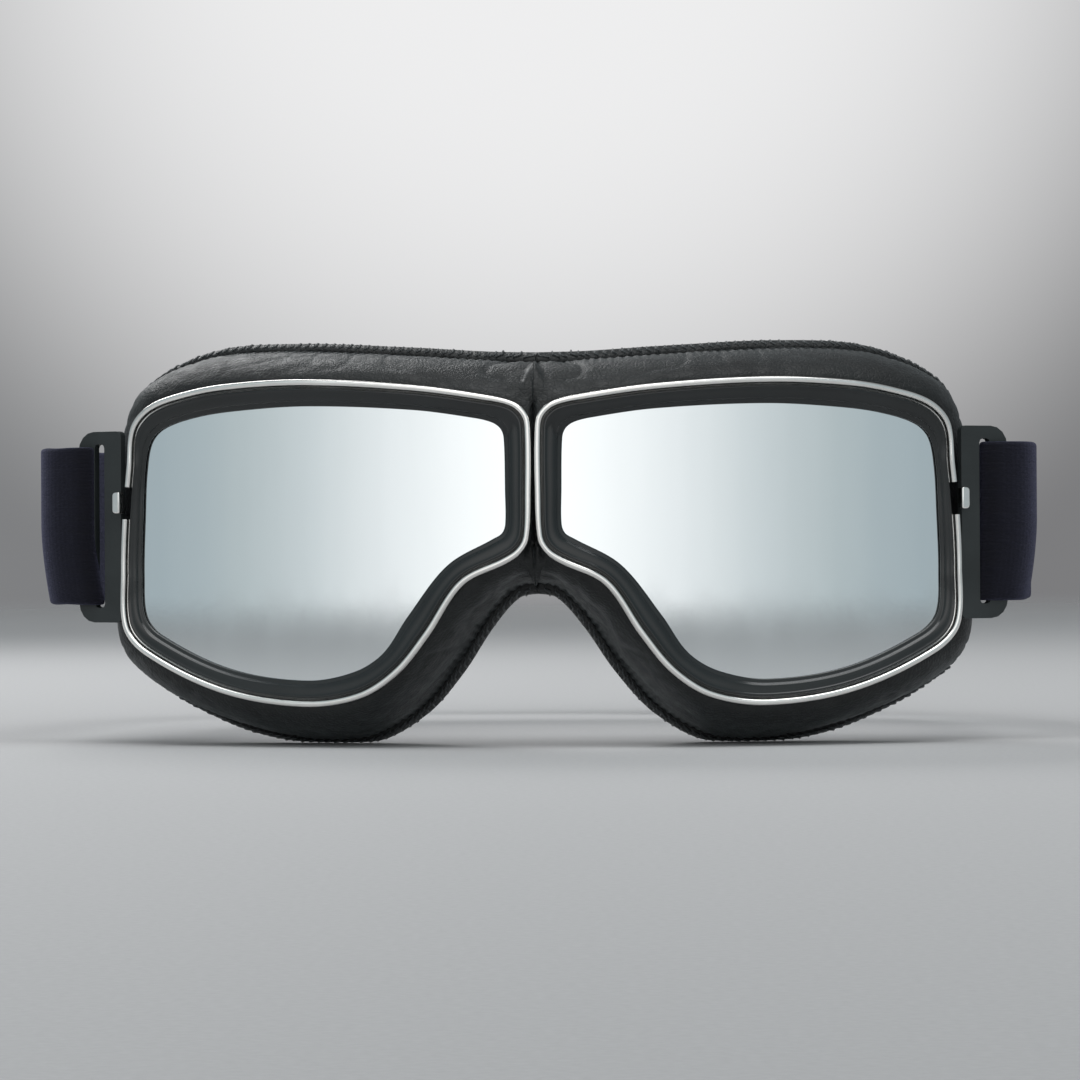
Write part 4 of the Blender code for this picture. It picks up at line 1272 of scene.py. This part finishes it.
@dataclass
class Studio:
    """The pale floor, the soft surrounding light, two softboxes and the camera."""

    camera_place: tuple = (0.0455, -0.9866, 0.03977)
    camera_turn: float = math.radians(2.9)
    camera_roll: float = math.radians(0.33)
    camera_lens: float = 157.9
    camera_shift: float = 0.0068
    floor_radius: float = 3.0
    radiance: tuple = (
        (0.0, (1.20, 1.21, 1.21)), (10.0, (1.15, 1.16, 1.16)), (17.0, (1.05, 1.06, 1.06)),
        (22.0, (0.95, 0.97, 0.975)), (27.0, (0.86, 0.885, 0.895)), (32.3, (0.75, 0.785, 0.795)),
        (37.3, (0.64, 0.685, 0.70)), (42.7, (0.55, 0.60, 0.615)), (48.0, (0.48, 0.535, 0.55)),
        (53.6, (0.42, 0.48, 0.504)), (60.6, (0.378, 0.44, 0.468)), (75.0, (0.33, 0.38, 0.40)),
        (110.0, (0.26, 0.28, 0.29)), (180.0, (0.20, 0.20, 0.205)),
    )

    def floor(self) -> None:
        """A pale round floor that fades out into the surroundings."""
        radii = np.array([0.0, 0.4, 1.0, 1.8, 2.4, self.floor_radius]) / MM
        turn = np.arange(64) * (2.0 * math.pi / 64)
        grid = np.stack([radii[1:, None] * np.cos(turn), radii[1:, None] * np.sin(turn), np.zeros((5, 64))], -1)
        points = np.vstack([grid.reshape(-1, 3), [(0.0, 0.0, 0.0)]]) + (0.0, ORIGIN_DEPTH, FLOOR)
        fans = [(k, (k + 1) % 64, 320) for k in range(64)]
        piece = add_piece("floor", points, grid_quads(5, 64, False, True), fans)
        made = Recipe.material("pale_floor")
        place = made.places()
        speck = made.noise(place, 900.0, 6.0)
        far = made.add("VectorMath", {0: place}, operation="LENGTH").outputs["Value"]
        fade = {"Value": far, 1: 0.9, 2: 2.6, 3: 1.0, 4: 0.0}
        keep = made.add("MapRange", fade, interpolation_type="SMOOTHSTEP")
        made.finish(
            Base_Color=made.blend(speck, (0.50, 0.50, 0.505), (0.54, 0.54, 0.545)),
            Roughness=0.75,
            Specular_IOR_Level=0.25,
            Normal=made.bump(speck, 0.00002, 0.3),
        )
        made.tree.links.new(keep.outputs[0], made.shader.inputs["Alpha"])
        dress(piece, made.owner)

    def surroundings(self) -> None:
        """Light that is white ahead of the lenses, falls to blue-grey at the sides and is grey behind.

        The brightness follows the bearing from straight ahead, with faint upright bands. Behind the goggles a soft
        round glow stands over the horizon.
        """
        world = bpy.data.worlds.new("studio")
        bpy.context.scene.world = world
        recipe = Recipe(world)
        ray = recipe.add("TexCoord", {}).outputs["Generated"]
        parts = recipe.add("SeparateXYZ", {0: ray})
        ahead = recipe.add("Math", {0: parts.outputs[1], 1: -1.0}, operation="MULTIPLY").outputs[0]
        bearing = recipe.add("Math", {0: parts.outputs[0], 1: ahead}, operation="ARCTAN2").outputs[0]
        centred = recipe.add("Math", {0: bearing, 1: self.camera_turn}, operation="ADD").outputs[0]
        turned = recipe.add("Math", {0: centred}, operation="ABSOLUTE").outputs[0]
        inputs = {"W": bearing, "Scale": 17.0, "Detail": 3.0}
        bands = recipe.add("TexNoise", inputs, noise_dimensions="1D").outputs[0]
        sway = recipe.add("MapRange", {"Value": bands, 1: 0.25, 2: 0.75, 3: -0.0025, 4: 0.0025}).outputs[0]
        share = recipe.add("Math", {0: turned, 1: math.pi}, operation="DIVIDE").outputs[0]
        swayed = recipe.add("Math", {0: share, 1: sway}, operation="ADD").outputs[0]
        ramp = recipe.add("ValToRGB", {"Fac": swayed})
        stops = [(degrees / 180.0, color) for degrees, color in self.radiance]
        elements = ramp.color_ramp.elements
        while len(elements) < len(stops):
            elements.new(0.5)
        for stop, (place, color) in zip(elements, stops):
            stop.position = place
            stop.color = (*color, 1.0)
        aim = unit(np.array([-0.05, 1.0, 0.145])).tolist()
        facing = recipe.add("VectorMath", {0: ray, 1: aim}, operation="DOT_PRODUCT").outputs["Value"]
        near = recipe.add(
            "MapRange", {"Value": facing, 1: 0.984, 2: 1.0, 3: 0.0, 4: 1.0}, interpolation_type="SMOOTHSTEP"
        ).outputs[0]
        glow = recipe.add("MixRGB", {0: near, 1: ramp.outputs[0], 2: (0.86, 0.86, 0.865, 1.0)}).outputs[0]
        background = recipe.tree.nodes["Background"]
        recipe.tree.links.new(glow, background.inputs["Color"])
        background.inputs["Strength"].default_value = 1.0

    def softbox(self, name: str, place: Sequence[float], aim: Sequence[float], size: tuple, power: float) -> None:
        """A rectangular area light at place, turned towards aim."""
        data = bpy.data.lights.new(name, "AREA")
        data.shape = "RECTANGLE"
        data.size, data.size_y = size
        data.energy = power
        made = bpy.data.objects.new(name, data)
        bpy.context.scene.collection.objects.link(made)
        made.location = place
        heading = Vector(aim) - made.location
        made.rotation_mode = "QUATERNION"
        made.rotation_quaternion = heading.to_track_quat("-Z", "Y")

    def camera(self) -> None:
        """A long lens level with the middle of the goggles, a little to their right."""
        data = bpy.data.cameras.new("camera")
        data.lens = self.camera_lens
        data.sensor_width = 36.0
        data.shift_x = self.camera_shift
        data.clip_start, data.clip_end = 0.02, 50.0
        made = bpy.data.objects.new("camera", data)
        bpy.context.scene.collection.objects.link(made)
        made.location = self.camera_place
        made.rotation_euler = (0.5 * math.pi, self.camera_roll, self.camera_turn)
        bpy.context.scene.camera = made

    def build(self) -> None:
        """Makes the whole studio."""
        self.floor()
        self.surroundings()
        self.softbox("top_softbox", (0.05, -0.25, 0.9), (0.0, 0.0, 0.04), (0.9, 0.5), 3.4)
        self.softbox("back_softbox", (-0.35, 0.55, 0.55), (0.0, 0.0, 0.05), (0.5, 0.3), 2.4)
        self.camera()


# ---------------------------------------------------------------- the goggles


def main() -> None:
    """Builds the goggles and the studio."""
    logging.basicConfig(level=logging.INFO, format="%(message)s")
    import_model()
    bpy.context.scene.view_settings.view_transform = "Standard"
    Studio().build()
    looks = Finishes()
    fine, hard = EyeLines(0.45), EyeLines(0.9)
    for side in Side:
        FrontSet(side, hard, looks).build()
        Cushion(side, fine, looks).build()
    Strap(looks, hard).build()
    Hardware(looks).build()


if __name__ == "__main__":
    main()
